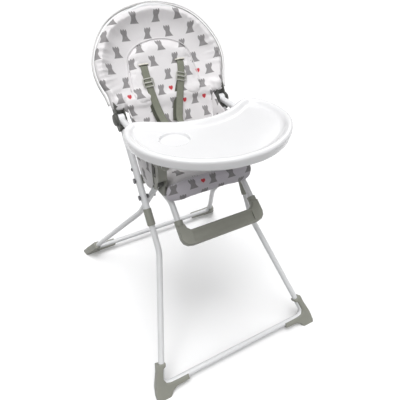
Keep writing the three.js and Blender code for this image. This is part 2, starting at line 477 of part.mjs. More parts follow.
// closed loft through stacked outlines with the same number of points
function loft(rings) {
  const n = rings[0][0].length, pos = [], idx = [];
  rings.forEach(([o, z]) => o.forEach(p => pos.push(p[0], p[1], Array.isArray(z) ? z[0] : z)));
  for (let k = 0; k < rings.length - 1; k++) for (let i = 0; i < n; i++) {
    const a = k * n + i, b = k * n + (i + 1) % n, c = (k + 1) * n + i, d = (k + 1) * n + (i + 1) % n;
    idx.push(a, b, d, a, d, c);
  }
  const capTri = (o, off, up) => {
    for (const t of THREE.ShapeUtils.triangulateShape(o.map(p => V2(p[0], p[1])), [])) up ? idx.push(off + t[0], off + t[1], off + t[2]) : idx.push(off + t[2], off + t[1], off + t[0]);
  };
  capTri(rings[0][0], 0, false);
  capTri(rings[rings.length - 1][0], (rings.length - 1) * n, true);
  const g = new THREE.BufferGeometry();
  g.setAttribute('position', new THREE.Float32BufferAttribute(pos, 3));
  g.setIndex(idx);
  return g;
}
const TN = 56;
const T0 = smooth(trayOutline, TN);
function tray() {
  const z1 = TRAY_TOP, z0 = TRAY_TOP - TRAY_SKIRT;
  let m = solid(loft([[inset(T0, 3), z0], [inset(T0, 0), z1 - 8], [inset(T0, 2.5), z1 - 2], [inset(T0, 7), z1]]));
  m = m.subtract(solid(loft([[inset(T0, 24), z1 - 13], [inset(T0, 21), z1 - 8], [inset(T0, 15), z1 + 1]])));
  m = m.subtract(solid(loft([[inset(T0, 6), z0 - 1], [inset(T0, 4), z1 - 16.5]])));
  // cup recess at the right hand of the child, its bowl hangs under the floor
  const cup = new THREE.CylinderGeometry(36, 33, 9, 28, 1); cup.rotateX(Math.PI / 2);
  const cx = -110, cy = 201;
  const bowl = cup.clone(); bowl.translate(cx, cy, z1 - 13.5 - 4.0);
  const wall = new THREE.CylinderGeometry(39, 36, 9, 28, 1); wall.rotateX(Math.PI / 2); wall.translate(cx, cy, z1 - 16.5 - 3.5);
  m = m.add(solid(clean(wall)));
  m = m.subtract(solid(clean(bowl)));
  return geo(m);
}
add('tray', tray(), TRAY);
// runners under the tray: open channels that slide on the armrest tubes
function runner() {
  const z = HINGE.z;
  const o = box(153, 179, 140, 262, z - 3, TRAY_TOP - 17.0);
  return cut(o, rod(V(FRONT_UP_X, 100, z), V(FRONT_UP_X, 300, z), ARM_Z_R + 0.5, 16), box(150.0, 157.0, 189.0, 215.0, z - 20, z + 8.5));
}
pair('tray_runner', runner(), GREY);
pair('tray_latch', box(148.6, 156.2, 189.6, 214.4, HINGE.z - 8, HINGE.z + 8), DARK);

export default part;
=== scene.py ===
import bpy, bmesh, math
import numpy as np
from mathutils import Vector, Matrix
from mathutils.geometry import delaunay_2d_cdt


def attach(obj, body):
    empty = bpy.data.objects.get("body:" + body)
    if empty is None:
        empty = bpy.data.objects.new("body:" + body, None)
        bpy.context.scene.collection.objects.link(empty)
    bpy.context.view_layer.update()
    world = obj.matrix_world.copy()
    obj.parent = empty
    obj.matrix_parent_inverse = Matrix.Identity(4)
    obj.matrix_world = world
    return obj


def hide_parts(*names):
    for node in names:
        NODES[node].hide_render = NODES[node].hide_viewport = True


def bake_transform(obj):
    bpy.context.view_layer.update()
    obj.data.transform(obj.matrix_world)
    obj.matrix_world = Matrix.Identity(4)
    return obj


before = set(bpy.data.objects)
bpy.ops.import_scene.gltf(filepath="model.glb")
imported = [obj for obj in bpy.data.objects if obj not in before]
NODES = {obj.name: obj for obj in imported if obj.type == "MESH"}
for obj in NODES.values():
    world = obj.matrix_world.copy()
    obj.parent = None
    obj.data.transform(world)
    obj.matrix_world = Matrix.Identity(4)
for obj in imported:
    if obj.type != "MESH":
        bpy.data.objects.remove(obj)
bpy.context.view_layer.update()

scene = bpy.context.scene
D = math.pi / 180
OFF = -358.6                       # mm, front feet line to the origin

HY, HZ = 813 * math.cos(57.4 * D), 813 * math.sin(57.4 * D)   # armrest hinge
BA = 61 * D                                                   # backrest angle


def P(x, y, z):
    """Millimetres from the front feet line, to metres in the row frame."""
    return np.array((x / 1000.0, (y + OFF) / 1000.0, z / 1000.0))


def B(x, t, n=0.0):
    """Backrest coordinates: across, up along the backrest, out of its front."""
    return P(x, HY + t * math.cos(BA) - n * math.sin(BA), HZ + t * math.sin(BA) + n * math.cos(BA))


def Bv(x, t, n):
    x, t, n = (np.asarray(a, float) for a in (x, t, n))
    return np.stack([x / 1000, (HY + OFF + t * math.cos(BA) - n * math.sin(BA)) / 1000, (HZ + t * math.sin(BA) + n * math.cos(BA)) / 1000], -1)


def back_coords(co):
    """Row frame metres to backrest coordinates in mm."""
    y, z = co[:, 1] * 1000 - OFF - HY, co[:, 2] * 1000 - HZ
    return co[:, 0] * 1000, y * math.cos(BA) + z * math.sin(BA), -y * math.sin(BA) + z * math.cos(BA)


# ------------------------------------------------------------------ camera
cam_data = bpy.data.cameras.new("camera")
cam = bpy.data.objects.new("camera", cam_data)
scene.collection.objects.link(cam)
cam.location = (-0.4688, -0.9338, 1.1447)
cam.rotation_euler = (Vector((0.0498, 0.0044, 0.3724)) - Vector(cam.location)).to_track_quat("-Z", "Y").to_euler()
cam_data.lens = 34.947
cam_data.sensor_width = 36.0
cam_data.clip_start, cam_data.clip_end = 0.01, 50
scene.camera = cam
scene.view_settings.view_transform = "Standard"
scene.view_settings.look = "None"


# ------------------------------------------------------------------ node materials
class Ex:
    """A value in a node tree, so that a formula can be written as one."""

    def __init__(self, nt, sock):
        self.nt, self.s = nt, sock

    def _m(self, op, *o):
        n = self.nt.nodes.new("ShaderNodeMath")
        n.operation = op
        for i, v in enumerate((self, *o)):
            if isinstance(v, Ex):
                self.nt.links.new(v.s, n.inputs[i])
            else:
                n.inputs[i].default_value = float(v)
        return Ex(self.nt, n.outputs[0])

    def __add__(self, o): return self._m("ADD", o)
    def __sub__(self, o): return self._m("SUBTRACT", o)
    def __mul__(self, o): return self._m("MULTIPLY", o)
    def __truediv__(self, o): return self._m("DIVIDE", o)
    def lt(self, o): return self._m("LESS_THAN", o)
    def gt(self, o): return self._m("GREATER_THAN", o)
    def floor(self): return self._m("FLOOR")
    def fract(self): return self._m("FRACT")
    def abs(self): return self._m("ABSOLUTE")
    def cos(self): return self._m("COSINE")
    def sin(self): return self._m("SINE")
    def pow(self, o): return self._m("POWER", o)
    def max(self, o): return self._m("MAXIMUM", o)
    def min(self, o): return self._m("MINIMUM", o)
    def mod(self, o): return self._m("FLOORED_MODULO", o)

    def soft(self, lo, hi):
        """0 below lo, 1 above hi, smooth between."""
        n = self.nt.nodes.new("ShaderNodeMapRange")
        n.interpolation_type = "SMOOTHSTEP"
        n.inputs["From Min"].default_value, n.inputs["From Max"].default_value = lo, hi
        self.nt.links.new(self.s, n.inputs["Value"])
        return Ex(self.nt, n.outputs["Result"])


def tree(name):
    m = bpy.data.materials.new(name)
    m.use_nodes = True
    nt = m.node_tree
    return m, nt, nt.nodes["Principled BSDF"]


def noise(nt, coord, scale, detail=3.0, rough=0.5, dist=0.0):
    n = nt.nodes.new("ShaderNodeTexNoise")
    n.inputs["Scale"].default_value, n.inputs["Detail"].default_value = scale, detail
    n.inputs["Roughness"].default_value, n.inputs["Distortion"].default_value = rough, dist
    nt.links.new(coord, n.inputs["Vector"])
    return Ex(nt, n.outputs["Fac"])


def coord(nt, kind="Object"):
    return nt.nodes.new("ShaderNodeTexCoord").outputs[kind]


def mapped(nt, vec, scale=(1, 1, 1), rot=(0, 0, 0)):
    n = nt.nodes.new("ShaderNodeMapping")
    n.inputs["Scale"].default_value, n.inputs["Rotation"].default_value = scale, rot
    nt.links.new(vec, n.inputs["Vector"])
    return n.outputs["Vector"]


def mix(nt, fac, a, b):
    """Colours a and b (tuples or sockets) mixed by fac."""
    n = nt.nodes.new("ShaderNodeMix")
    n.data_type = "RGBA"
    nt.links.new(fac.s, n.inputs["Factor"]) if isinstance(fac, Ex) else setattr(n.inputs["Factor"], "default_value", fac)
    for sock, v in ((n.inputs["A"], a), (n.inputs["B"], b)):
        if isinstance(v, tuple):
            sock.default_value = (*v, 1)
        else:
            nt.links.new(v, sock)
    return n.outputs["Result"]


def ramp(nt, x, lo, hi):
    n = nt.nodes.new("ShaderNodeMapRange")
    n.inputs["To Min"].default_value, n.inputs["To Max"].default_value = lo, hi
    nt.links.new(x.s, n.inputs["Value"])
    return n.outputs["Result"]


def bump(nt, bsdf, h, strength, dist):
    n = nt.nodes.new("ShaderNodeBump")
    n.inputs["Strength"].default_value, n.inputs["Distance"].default_value = strength, dist
    nt.links.new(h.s, n.inputs["Height"])
    nt.links.new(n.outputs["Normal"], bsdf.inputs["Normal"])
    return n


def edge_wear(nt, lo=0.49, hi=0.56):
    g = nt.nodes.new("ShaderNodeNewGeometry")
    return Ex(nt, g.outputs["Pointiness"]).soft(lo, hi)


def hard_material(name, base, var, rough, grain, grain_strength, coat=0.0, metal=0.0, mottled=60.0):
    """Painted or moulded surface: slow tone change, fine grain, paler worn edges."""
    m, nt, b = tree(name)
    oc = coord(nt)
    slow, fine = noise(nt, oc, mottled, 3), noise(nt, oc, grain, 2, 0.6)
    lite = tuple(min(1.0, c * (1 + var)) for c in base)
    dark = tuple(c * (1 - var) for c in base)
    c = mix(nt, slow, dark, lite)
    c = mix(nt, edge_wear(nt) * 0.35, c, tuple(min(1.0, v * 1.18 + 0.01) for v in base))
    nt.links.new(c, b.inputs["Base Color"])
    nt.links.new(ramp(nt, noise(nt, oc, mottled * 2.3, 4), rough - 0.07, rough + 0.09), b.inputs["Roughness"])
    bump(nt, b, fine, grain_strength, 0.0004)
    b.inputs["Metallic"].default_value = metal
    b.inputs["Coat Weight"].default_value = coat
    b.inputs["Coat Roughness"].default_value = 0.12
    return m


M = {
    "white_tube": hard_material("powder_coat", (0.74, 0.745, 0.755), 0.03, 0.30, 900, 0.10, coat=0.2),
    "grey_plastic": hard_material("moulded_grey", (0.275, 0.277, 0.240), 0.06, 0.44, 1600, 0.22),
    "dark_plastic": hard_material("moulded_dark", (0.088, 0.090, 0.082), 0.08, 0.46, 1500, 0.22),
    "tray_white": hard_material("tray_gloss", (0.815, 0.815, 0.825), 0.012, 0.20, 500, 0.02, coat=0.5, mottled=24),
    "steel": hard_material("plated_steel", (0.15, 0.15, 0.155), 0.12, 0.34, 700, 0.10, metal=0.75),
    "pan_board": hard_material("pan_board", (0.47, 0.47, 0.45), 0.06, 0.60, 800, 0.20),
}


def cloth_material(name, ground, printed=True, weave=0.0011, pu=0.068, pv=0.0425, shift=(0.0, 0.0), strength=0.28):
    """Woven cover cloth. The UV map "print" is in metres along the cloth. The print is staggered rows of a plain three-petal
    bud on a flared foot, leaning left and right, with a small heart now and then."""
    m, nt, b = tree(name)
    uvn = nt.nodes.new("ShaderNodeUVMap")
    uvn.uv_map = "print"
    sep = nt.nodes.new("ShaderNodeSeparateXYZ")
    nt.links.new(uvn.outputs["UV"], sep.inputs[0])
    u, v = Ex(nt, sep.outputs[0]) + shift[0], Ex(nt, sep.outputs[1]) + shift[1]
    oc = coord(nt)
    tone = noise(nt, oc, 22, 3)
    col = mix(nt, tone, tuple(c * 0.95 for c in ground), ground)
    if printed:
        def lattice(su):
            row = (v / pv).floor()
            cu = u / pu + row * 0.5 + su
            col_i, fu = cu.floor(), cu.fract() - 0.5
            comb = nt.nodes.new("ShaderNodeCombineXYZ")
            nt.links.new(col_i.s, comb.inputs[0])
            nt.links.new(row.s, comb.inputs[1])
            comb.inputs[2].default_value = 3.0 + su
            wn = nt.nodes.new("ShaderNodeTexWhiteNoise")
            wn.noise_dimensions = "3D"
            nt.links.new(comb.outputs[0], wn.inputs["Vector"])
            return fu * (pu * 1000), ((v / pv).fract() - 0.5) * (pv * 1000), Ex(nt, wn.outputs["Value"]), col_i, row
        x, y, h, ci, ro = lattice(0.0)
        lean = ((ci + ro).mod(2.0) - 0.5) * 2.0
        xc = (x - lean * y * 0.16 - lean * 1.4) * 1.0
        ax = xc.abs()
        yn = y / 16.0
        low = yn.min(0.0)
        high = yn.max(0.0)
        wid = low * low * 6.4 + (high * math.pi).sin() * 2.6 + 6.7
        wid = wid + (lean * xc * 0.10).max(0.0)
        top = (xc * (math.pi / 7.4)).cos().abs() * 4.2 + 10.4
        inside = (wid - ax).soft(-0.45, 0.45) * (y + 16.2).soft(-0.4, 0.4) * (top - y).soft(-0.5, 0.5)
        ink = ramp(nt, noise(nt, oc, 160, 3), 0.86, 1.0)
        grey = mix(nt, noise(nt, oc, 260, 2), (0.235, 0.225, 0.228), (0.300, 0.290, 0.293))
        col = mix(nt, inside * Ex(nt, ink), col, grey)
        x2, y2, h2, _, _ = lattice(0.5)
        hx, hy = x2 / 5.8, (y2 + 1.0) / 5.8
        r2 = hx * hx + hy * hy - 1.0
        heart = (r2 * r2 * r2 - hx * hx * hy * hy * hy) * -1.0
        hm = heart.soft(-0.06, 0.06) * h2.gt(0.868)
        halo = (r2 * -1.0 + 1.2).soft(0.0, 0.9) * h2.gt(0.868)
        col = mix(nt, halo * 0.30, col, (0.90, 0.56, 0.55))
        col = mix(nt, hm, col, (0.58, 0.055, 0.07))
    nt.links.new(col, b.inputs["Base Color"])
    # plain weave from the two thread directions, and slack-cloth puckers
    k = 2 * math.pi / weave
    w = (u * k).sin() * (v * k).sin()
    puck = noise(nt, mapped(nt, oc, (26, 26, 60)), 1.0, 4, 0.55, 0.4)
    fine = noise(nt, oc, 420, 3, 0.6)
    bump(nt, b, w * 0.12 + puck * 1.4 + fine * 0.22, strength, 0.0022)
    nt.links.new(ramp(nt, fine, 0.74, 0.92), b.inputs["Roughness"])
    b.inputs["Sheen Weight"].default_value = 0.22
    b.inputs["Sheen Roughness"].default_value = 0.5
    b.inputs["Specular IOR Level"].default_value = 0.28
    return m


M["cover"] = cloth_material("cover_print", (0.835, 0.815, 0.825))
# a darker lilac copy of the cover print: painted shade for the front roll under the tray
M["seat_cloth"] = cloth_material("roll_print_painted_shade", (0.66, 0.63, 0.68), pu=0.060, pv=0.040, shift=(0.012, 0.006))
M["plain_cloth"] = cloth_material("plain_cloth", (0.80, 0.785, 0.79), printed=False)
M["back_cloth"] = cloth_material("back_cloth", (0.50, 0.49, 0.50), printed=False)


def web_material(name, base, rib=0.0016):
    """Narrow woven webbing. The UV map "print" holds metres across and along it."""
    m, nt, b = tree(name)
    uvn = nt.nodes.new("ShaderNodeUVMap")
    uvn.uv_map = "print"
    sep = nt.nodes.new("ShaderNodeSeparateXYZ")
    nt.links.new(uvn.outputs["UV"], sep.inputs[0])
    u, v = Ex(nt, sep.outputs[0]), Ex(nt, sep.outputs[1])
    herr = ((v + (u.abs() * 0.9)) * (2 * math.pi / rib)).sin()
    cross = (u * (2 * math.pi / 0.0022)).sin()
    oc = coord(nt)
    tone = noise(nt, oc, 90, 3) * 0.6 + (herr * 0.5 + 0.5) * 0.4
    edge = (u.abs() - 0.0086).soft(0.0, 0.0010)
    c = mix(nt, tone, tuple(x * 0.80 for x in base), tuple(x * 1.16 for x in base))
    c = mix(nt, edge * 0.35, c, tuple(x * 0.62 for x in base))
    nt.links.new(c, b.inputs["Base Color"])
    bump(nt, b, herr * 0.5 + cross * 0.35 + noise(nt, oc, 700, 2) * 0.4, 0.5, 0.0006)
    nt.links.new(ramp(nt, noise(nt, oc, 500, 2), 0.66, 0.86), b.inputs["Roughness"])
    b.inputs["Sheen Weight"].default_value = 0.15
    b.inputs["Specular IOR Level"].default_value = 0.3
    return m


M["webbing"] = web_material("webbing", (0.225, 0.235, 0.185))
# a darker copy of the webbing: painted shade on the strap tails, and the dark stitched lips of the slots
M["web_dark"] = web_material("webbing_dark_and_painted_shade", (0.095, 0.10, 0.075))
M["piping"] = cloth_material("piping", (0.83, 0.825, 0.82), printed=False, weave=0.0008, strength=0.2)
# a darker copy of the piping cloth: painted shade for the piping on the front roll
M["seat_piping_painted_shade"] = cloth_material("seat_piping_painted_shade", (0.66, 0.64, 0.67), printed=False, weave=0.0008, strength=0.2)
M["piping_grey"] = cloth_material("piping_grey", (0.52, 0.515, 0.51), printed=False, weave=0.0008, strength=0.2)
M["slot_bar"] = hard_material("slot_bar", (0.74, 0.72, 0.64), 0.04, 0.40, 700, 0.1)
M["rubber"] = hard_material("rubber_sole", (0.055, 0.055, 0.055), 0.1, 0.7, 1200, 0.3)


# ------------------------------------------------------------------ mesh helpers
def mesh_obj(name, verts, faces, mat, smooth=True):
    me = bpy.data.meshes.new(name)
    me.from_pydata([tuple(map(float, v)) for v in verts], [], [tuple(map(int, f)) for f in faces])
    me.validate()
    bm = bmesh.new()
    bm.from_mesh(me)
    bmesh.ops.remove_doubles(bm, verts=bm.verts, dist=1e-6)
    bmesh.ops.recalc_face_normals(bm, faces=bm.faces)
    bm.to_mesh(me)
    bm.free()
    me.polygons.foreach_set("use_smooth", [smooth] * len(me.polygons))
    o = bpy.data.objects.new(name, me)
    scene.collection.objects.link(o)
    me.materials.append(mat)
    return o


def get_co(o):
    co = np.empty(len(o.data.vertices) * 3, np.float32)
    o.data.vertices.foreach_get("co", co)
    return co.reshape(-1, 3).astype(float)


def set_co(o, co):
    o.data.vertices.foreach_set("co", np.asarray(co, np.float32).ravel())
    o.data.update()


def bake(o):
    """Applies the modifiers of o."""
    bpy.context.view_layer.update()
    dg = bpy.context.evaluated_depsgraph_get()
    me = bpy.data.meshes.new_from_object(o.evaluated_get(dg), preserve_all_data_layers=True, depsgraph=dg)
    old = o.data
    o.modifiers.clear()
    o.data = me
    bpy.data.meshes.remove(old)
    me.name = o.name


def subdivide(o, levels=1):
    m = o.modifiers.new("sub", "SUBSURF")
    m.levels = m.render_levels = levels
    bake(o)


def set_uv(o, uv, name="print"):
    """uv: one (u, v) for each vertex."""
    lay = o.data.uv_layers.get(name) or o.data.uv_layers.new(name=name)
    idx = np.empty(len(o.data.loops), np.int32)
    o.data.loops.foreach_get("vertex_index", idx)
    lay.data.foreach_set("uv", np.asarray(uv, np.float32)[idx].ravel())


def puff(o, voxel=0.005, pressure=4.0, cap=0.008, frames=20, sub=True, stiff=15.0):
    """Padded fabric: even remesh, then cloth under inner pressure, held to a cap, then one subdivision."""
    r = o.modifiers.new("r", "REMESH")
    r.mode, r.voxel_size = "VOXEL", voxel
    bake(o)
    rest = get_co(o)
    scene.frame_set(1)
    c = o.modifiers.new("cloth", "CLOTH")
    s = c.settings
    s.quality, s.mass = 5, 0.3
    s.use_pressure, s.uniform_pressure_force = True, pressure
    s.effector_weights.gravity = 0
    s.tension_stiffness = s.compression_stiffness = stiff
    s.bending_stiffness = 0.5
    c.collision_settings.use_collision = False
    c.point_cache.frame_start, c.point_cache.frame_end = 1, frames
    for f in range(1, frames + 1):
        scene.frame_set(f)
    dg = bpy.context.evaluated_depsgraph_get()
    ev = o.evaluated_get(dg)
    me = ev.to_mesh()
    co = np.empty(len(me.vertices) * 3, np.float32)
    me.vertices.foreach_get("co", co)
    co = co.reshape(-1, 3).astype(float)
    ev.to_mesh_clear()
    o.modifiers.clear()
    if len(co) == len(rest) and np.isfinite(co).all():
        d = co - rest
        L = np.linalg.norm(d, axis=1, keepdims=True)
        set_co(o, rest + d / np.maximum(L, 1e-9) * cap * np.tanh(L / cap))
    scene.frame_set(1)
    if sub:
        subdivide(o)
    o.data.polygons.foreach_set("use_smooth", [True] * len(o.data.polygons))
    return o


def catmull(pts, n, closed=False):
    """Centripetal curve through pts, n points evenly spaced."""
    p = np.asarray(pts, float)
    if closed:
        p = np.vstack([p[-1], p, p[0], p[1]])
    else:
        p = np.vstack([2 * p[0] - p[1], p, 2 * p[-1] - p[-2]])
    out = []
    for i in range(1, len(p) - 2):
        p0, p1, p2, p3 = p[i - 1], p[i], p[i + 1], p[i + 2]
        t0 = 0.0
        t1 = t0 + max(1e-6, np.linalg.norm(p1 - p0)) ** 0.5
        t2 = t1 + max(1e-6, np.linalg.norm(p2 - p1)) ** 0.5
        t3 = t2 + max(1e-6, np.linalg.norm(p3 - p2)) ** 0.5
        for t in np.linspace(t1, t2, 24, endpoint=False):
            A1 = (t1 - t) / (t1 - t0) * p0 + (t - t0) / (t1 - t0) * p1
            A2 = (t2 - t) / (t2 - t1) * p1 + (t - t1) / (t2 - t1) * p2
            A3 = (t3 - t) / (t3 - t2) * p2 + (t - t2) / (t3 - t2) * p3
            B1 = (t2 - t) / (t2 - t0) * A1 + (t - t0) / (t2 - t0) * A2
            B2 = (t3 - t) / (t3 - t1) * A2 + (t - t1) / (t3 - t1) * A3
            out.append((t2 - t) / (t2 - t1) * B1 + (t - t1) / (t2 - t1) * B2)
    out.append(p[-2])
    out = np.array(out)
    s = np.concatenate([[0], np.cumsum(np.linalg.norm(np.diff(out, axis=0), axis=1))])
    q = np.linspace(0, s[-1], n + 1 if closed else n)
    if closed:
        q = q[:-1]
    return np.stack([np.interp(q, s, out[:, k]) for k in range(out.shape[1])], 1)


def sweep(name, pts, prof, mat, closed=False, ups=None, caps=True):
    """prof (2-D points) carried along pts. ups: the direction of the profile's second axis at each point."""
    pts = np.asarray(pts, float)
    n, k = len(pts), len(prof)
    T = np.roll(pts, -1, 0) - np.roll(pts, 1, 0)
    if not closed:
        T[0], T[-1] = pts[1] - pts[0], pts[-1] - pts[-2]
    T /= np.linalg.norm(T, axis=1, keepdims=True)
    if ups is None:
        up = np.array((0.0, 0, 1)) if abs(T[0][2]) < 0.9 else np.array((1.0, 0, 0))
        ups = []
        for t in T:
            up = up - t * (up @ t)
            up /= np.linalg.norm(up)
            ups.append(up.copy())
    V, s = [], 0.0
    uv = []
    plen = np.concatenate([[0], np.cumsum(np.linalg.norm(np.diff(np.array(prof + [prof[0]]), axis=0), axis=1))])
    for i in range(n):
        u = np.asarray(ups[i], float)
        u = u - T[i] * (u @ T[i])
        u /= np.linalg.norm(u)
        r = np.cross(T[i], u)
        if i:
            s += np.linalg.norm(pts[i] - pts[i - 1])
        for j, (a, b2) in enumerate(prof):
            V.append(pts[i] + r * a + u * b2)
            uv.append((a if len(prof) == len(WEB) else plen[j], s))
    F = []
    for i in range(n if closed else n - 1):
        for j in range(k):
            a, b2 = i * k + j, i * k + (j + 1) % k
            c, d = ((i + 1) % n) * k + (j + 1) % k, ((i + 1) % n) * k + j
            F.append((a, b2, c, d))
    if not closed and caps:
        F.append(tuple(range(k))[::-1])
        F.append(tuple((n - 1) * k + j for j in range(k)))
    me = bpy.data.meshes.new(name)
    me.from_pydata([tuple(map(float, v)) for v in V], [], F)
    o = bpy.data.objects.new(name, me)
    scene.collection.objects.link(o)
    me.materials.append(mat)
    me.polygons.foreach_set("use_smooth", [len(p.vertices) == 4 for p in me.polygons])
    set_uv(o, uv)
    bm = bmesh.new()
    bm.from_mesh(me)
    bmesh.ops.recalc_face_normals(bm, faces=bm.faces)
    bm.to_mesh(me)
    bm.free()
    return o


def web_profile(w, th, n=9):
    """Flat webbing with rounded edges, slightly thinner at the borders."""
    top = [(-w / 2 + w * i / (n - 1), th / 2 * (1 - 0.35 * abs(2 * i / (n - 1) - 1) ** 6)) for i in range(n)]
    return [(-w / 2 - th * 0.3, 0.0), *top, (w / 2 + th * 0.3, 0.0), *[(a, -b2) for a, b2 in reversed(top)]]


def ring(r, n=12):
    return [(r * math.cos(2 * math.pi * i / n), r * math.sin(2 * math.pi * i / n)) for i in range(n)]


WEB = web_profile(0.025, 0.0016)


def piping(name, pts, r, mat, closed=False, n=10):
    return sweep(name, pts, ring(r, n), mat, closed)


# ------------------------------------------------------------------ carried-over CAD nodes
SLOT_OF = {}
for n_ in NODES:
    b_ = n_
    if any(b_.startswith(k) for k in ("front_lower_legs", "front_upper_tube", "rear_legs", "seat_frame", "armrest_tube", "backrest_loop")):
        SLOT_OF[n_] = "white_tube"
    elif any(b_.startswith(k) for k in ("frame_screw", "scissor_bolt", "scissor_spacer", "seat_pivot_bolt")):
        SLOT_OF[n_] = "steel"
    elif any(b_.startswith(k) for k in ("hinge_cap", "hinge_housing", "rear_leg_end", "lock_lever", "tray_latch", "buckle_button")):
        SLOT_OF[n_] = "dark_plastic"
    elif any(b_.startswith(k) for k in ("seat_pan", "seat_side_rail")):
        SLOT_OF[n_] = "pan_board"
    elif b_ == "tray":
        SLOT_OF[n_] = "tray_white"
    elif any(b_.startswith(k) for k in ("backrest_pad", "backrest_insert", "seat_pad", "seat_apron", "side_wing")):
        SLOT_OF[n_] = "cover"
    elif any(b_.startswith(k) for k in ("shoulder_strap", "crotch_strap", "waist_strap")):
        SLOT_OF[n_] = "webbing"
    else:
        SLOT_OF[n_] = "grey_plastic"
for n_, o in NODES.items():
    me = o.data
    me.materials.clear()
    me.materials.append(M[SLOT_OF[n_]])
    if "custom_normal" in me.attributes:
        me.attributes.remove(me.attributes["custom_normal"])
    me.polygons.foreach_set("use_smooth", [True] * len(me.polygons))
    w = o.modifiers.new("weld", "WELD")
    w.merge_threshold = 0.00002
    bv = o.modifiers.new("bevel", "BEVEL")
    bv.limit_method, bv.angle_limit = "ANGLE", 38 * D
    bv.width, bv.segments = (0.0006 if SLOT_OF[n_] in ("white_tube", "steel") else 0.0010), 2
    bv.use_clamp_overlap = True
    wn_ = o.modifiers.new("wn", "WEIGHTED_NORMAL")
    wn_.keep_sharp = True
    wn_.weight = 60

# ------------------------------------------------------------------ tray
def inset(o, d):
    a, b = np.roll(o, 1, 0), np.roll(o, -1, 0)
    t = b - a
    t /= np.linalg.norm(t, axis=1, keepdims=True)
    return o + np.stack([-t[:, 1], t[:, 0]], 1) * d


def make_tray():
    half = [[0, 25], [40, 27], [96, 45], [143, 73], [181, 110], [210, 158], [221, 210], [219, 258], [203, 296], [180, 316], [160, 314], [135, 301], [105, 281], [70, 264], [30, 254]]
    o = np.array(half + [[0, 252]] + [[-x, y] for x, y in reversed(half[1:])], float)
    T0 = catmull(o, 168, closed=True)
    zt = 727.0
    prof = [(3.2, zt - 27), (1.9, zt - 24), (0.9, zt - 17), (0.1, zt - 10), (0.0, zt - 7), (0.6, zt - 4.4), (2.2, zt - 2.0), (4.6, zt - 0.5), (7.6, zt), (10.8, zt - 0.3),
            (13.6, zt - 1.4), (16.2, zt - 3.4), (18.6, zt - 6.0), (21.0, zt - 8.6), (23.6, zt - 10.7), (26.6, zt - 12.1), (30, zt - 12.8), (33, zt - 13)]
    under = [(3.2, zt - 27), (4.6, zt - 27), (5.4, zt - 25.5), (5.8, zt - 20), (6.6, zt - 17.6), (8.6, zt - 16.6), (12, zt - 16.4)]
    V, F = [], []
    n = len(T0)

    def rings(pr, flip):
        base = len(V)
        for d, z in pr:
            for x, y in inset(T0, d):
                V.append(P(x, y, z))
        for k in range(len(pr) - 1):
            for i in range(n):
                a, b = base + k * n + i, base + k * n + (i + 1) % n
                F.append((a, b, b + n, a + n) if not flip else (a + n, b + n, b, a))
        return base + (len(pr) - 1) * n

    cup = np.array((-110.0, 201.0))
    m = 56

    def floor(pr, z, r_hole, bowl):
        edge = inset(T0, pr[-1][0])
        hole = [cup + r_hole * np.array((math.cos(2 * math.pi * i / m), math.sin(2 * math.pi * i / m))) for i in range(m)]
        pts = [Vector(p) for p in edge] + [Vector(p) for p in hole]
        ed = [(i, (i + 1) % n) for i in range(n)] + [(n + i, n + (i + 1) % m) for i in range(m)]
        res = delaunay_2d_cdt(pts, ed, [], 1, 1e-4)
        base = len(V)
        for p in res[0]:
            V.append(P(p[0], p[1], z))
        for f in res[2]:
            c = sum((Vector(res[0][i]) for i in f), Vector((0, 0))) / len(f)
            if (c - Vector(cup)).length > r_hole - 0.3:
                F.append(tuple(base + i for i in f))
        base = len(V)
        bowl = [(r_hole, z)] + bowl
        for r, zz in bowl:
            for i in range(m):
                a = 2 * math.pi * i / m
                V.append(P(cup[0] + r * math.cos(a), cup[1] + r * math.sin(a), zz))
        for k in range(len(bowl) - 1):
            for i in range(m):
                a, b = base + k * m + i, base + k * m + (i + 1) % m
                F.append((a, b, b + m, a + m))
        V.append(P(cup[0], cup[1], bowl[-1][1]))
        for i in range(m):
            F.append((base + (len(bowl) - 1) * m + i, base + (len(bowl) - 1) * m + (i + 1) % m, len(V) - 1))

    rings(prof, False)
    floor(prof, zt - 13, 40.5, [(39.4, zt - 13.2), (38.4, zt - 13.9), (37.8, zt - 15.4), (37.3, zt - 18.4), (36.5, zt - 20.6), (34.6, zt - 21.6), (30, zt - 21.85), (16, zt - 21.9)])
    rings(under, True)
    floor(under, zt - 16.4, 42, [(40.5, zt - 16.8), (39.2, zt - 18), (38.2, zt - 21), (36.6, zt - 23.6), (33, zt - 24.4), (20, zt - 24.5)])
    o = mesh_obj("tray_shell", V, F, M["tray_white"])
    wn = o.modifiers.new("wn", "WEIGHTED_NORMAL")
    wn.weight = 70
    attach(o, "tray")
    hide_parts("tray")
    return o


make_tray()

# ------------------------------------------------------------------ backrest cover
RIM = [(144, 9), (149.5, 18), (157, 22), (172, 22.5), (182, 28), (186, 44), (190, 68), (199, 98), (203, 130), (199, 164), (186, 197), (168, 226), (141, 256), (102, 281), (52, 297), (0, 303)]
rim_pts = catmull([(0, 6), (80, 6), (128, 7)] + RIM + [(-x, t) for x, t in reversed(RIM[:-1])] + [(-128, 7), (-80, 6)], 150, closed=True)


def dist_to(poly, q):
    """Distance from points q to a closed outline."""
    a, b = poly, np.roll(poly, -1, 0)
    best = np.full(len(q), 1e9)
    for i in range(len(a)):
        ab = b[i] - a[i]
        t = np.clip(((q - a[i]) @ ab) / (ab @ ab), 0, 1)
        best = np.minimum(best, np.linalg.norm(q - a[i] - t[:, None] * ab, axis=1))
    return best


FRONT = ([0, 1.5, 5, 11, 18, 28, 42, 60, 85, 120, 200], [2, 8, 11.5, 12.5, 9.5, 2, -7, -13, -17, -19, -20])
BACK = ([0, 1.5, 5, 11, 18, 28, 42, 60, 85, 120, 200], [-4, -9, -12, -13.5, -15, -19, -24, -28, -31, -33, -34])


def low_fade(t):
    """Near the bottom edge there is no rim tube, so the cover is flat there."""
    return np.clip((t - 12) / 36, 0, 1)


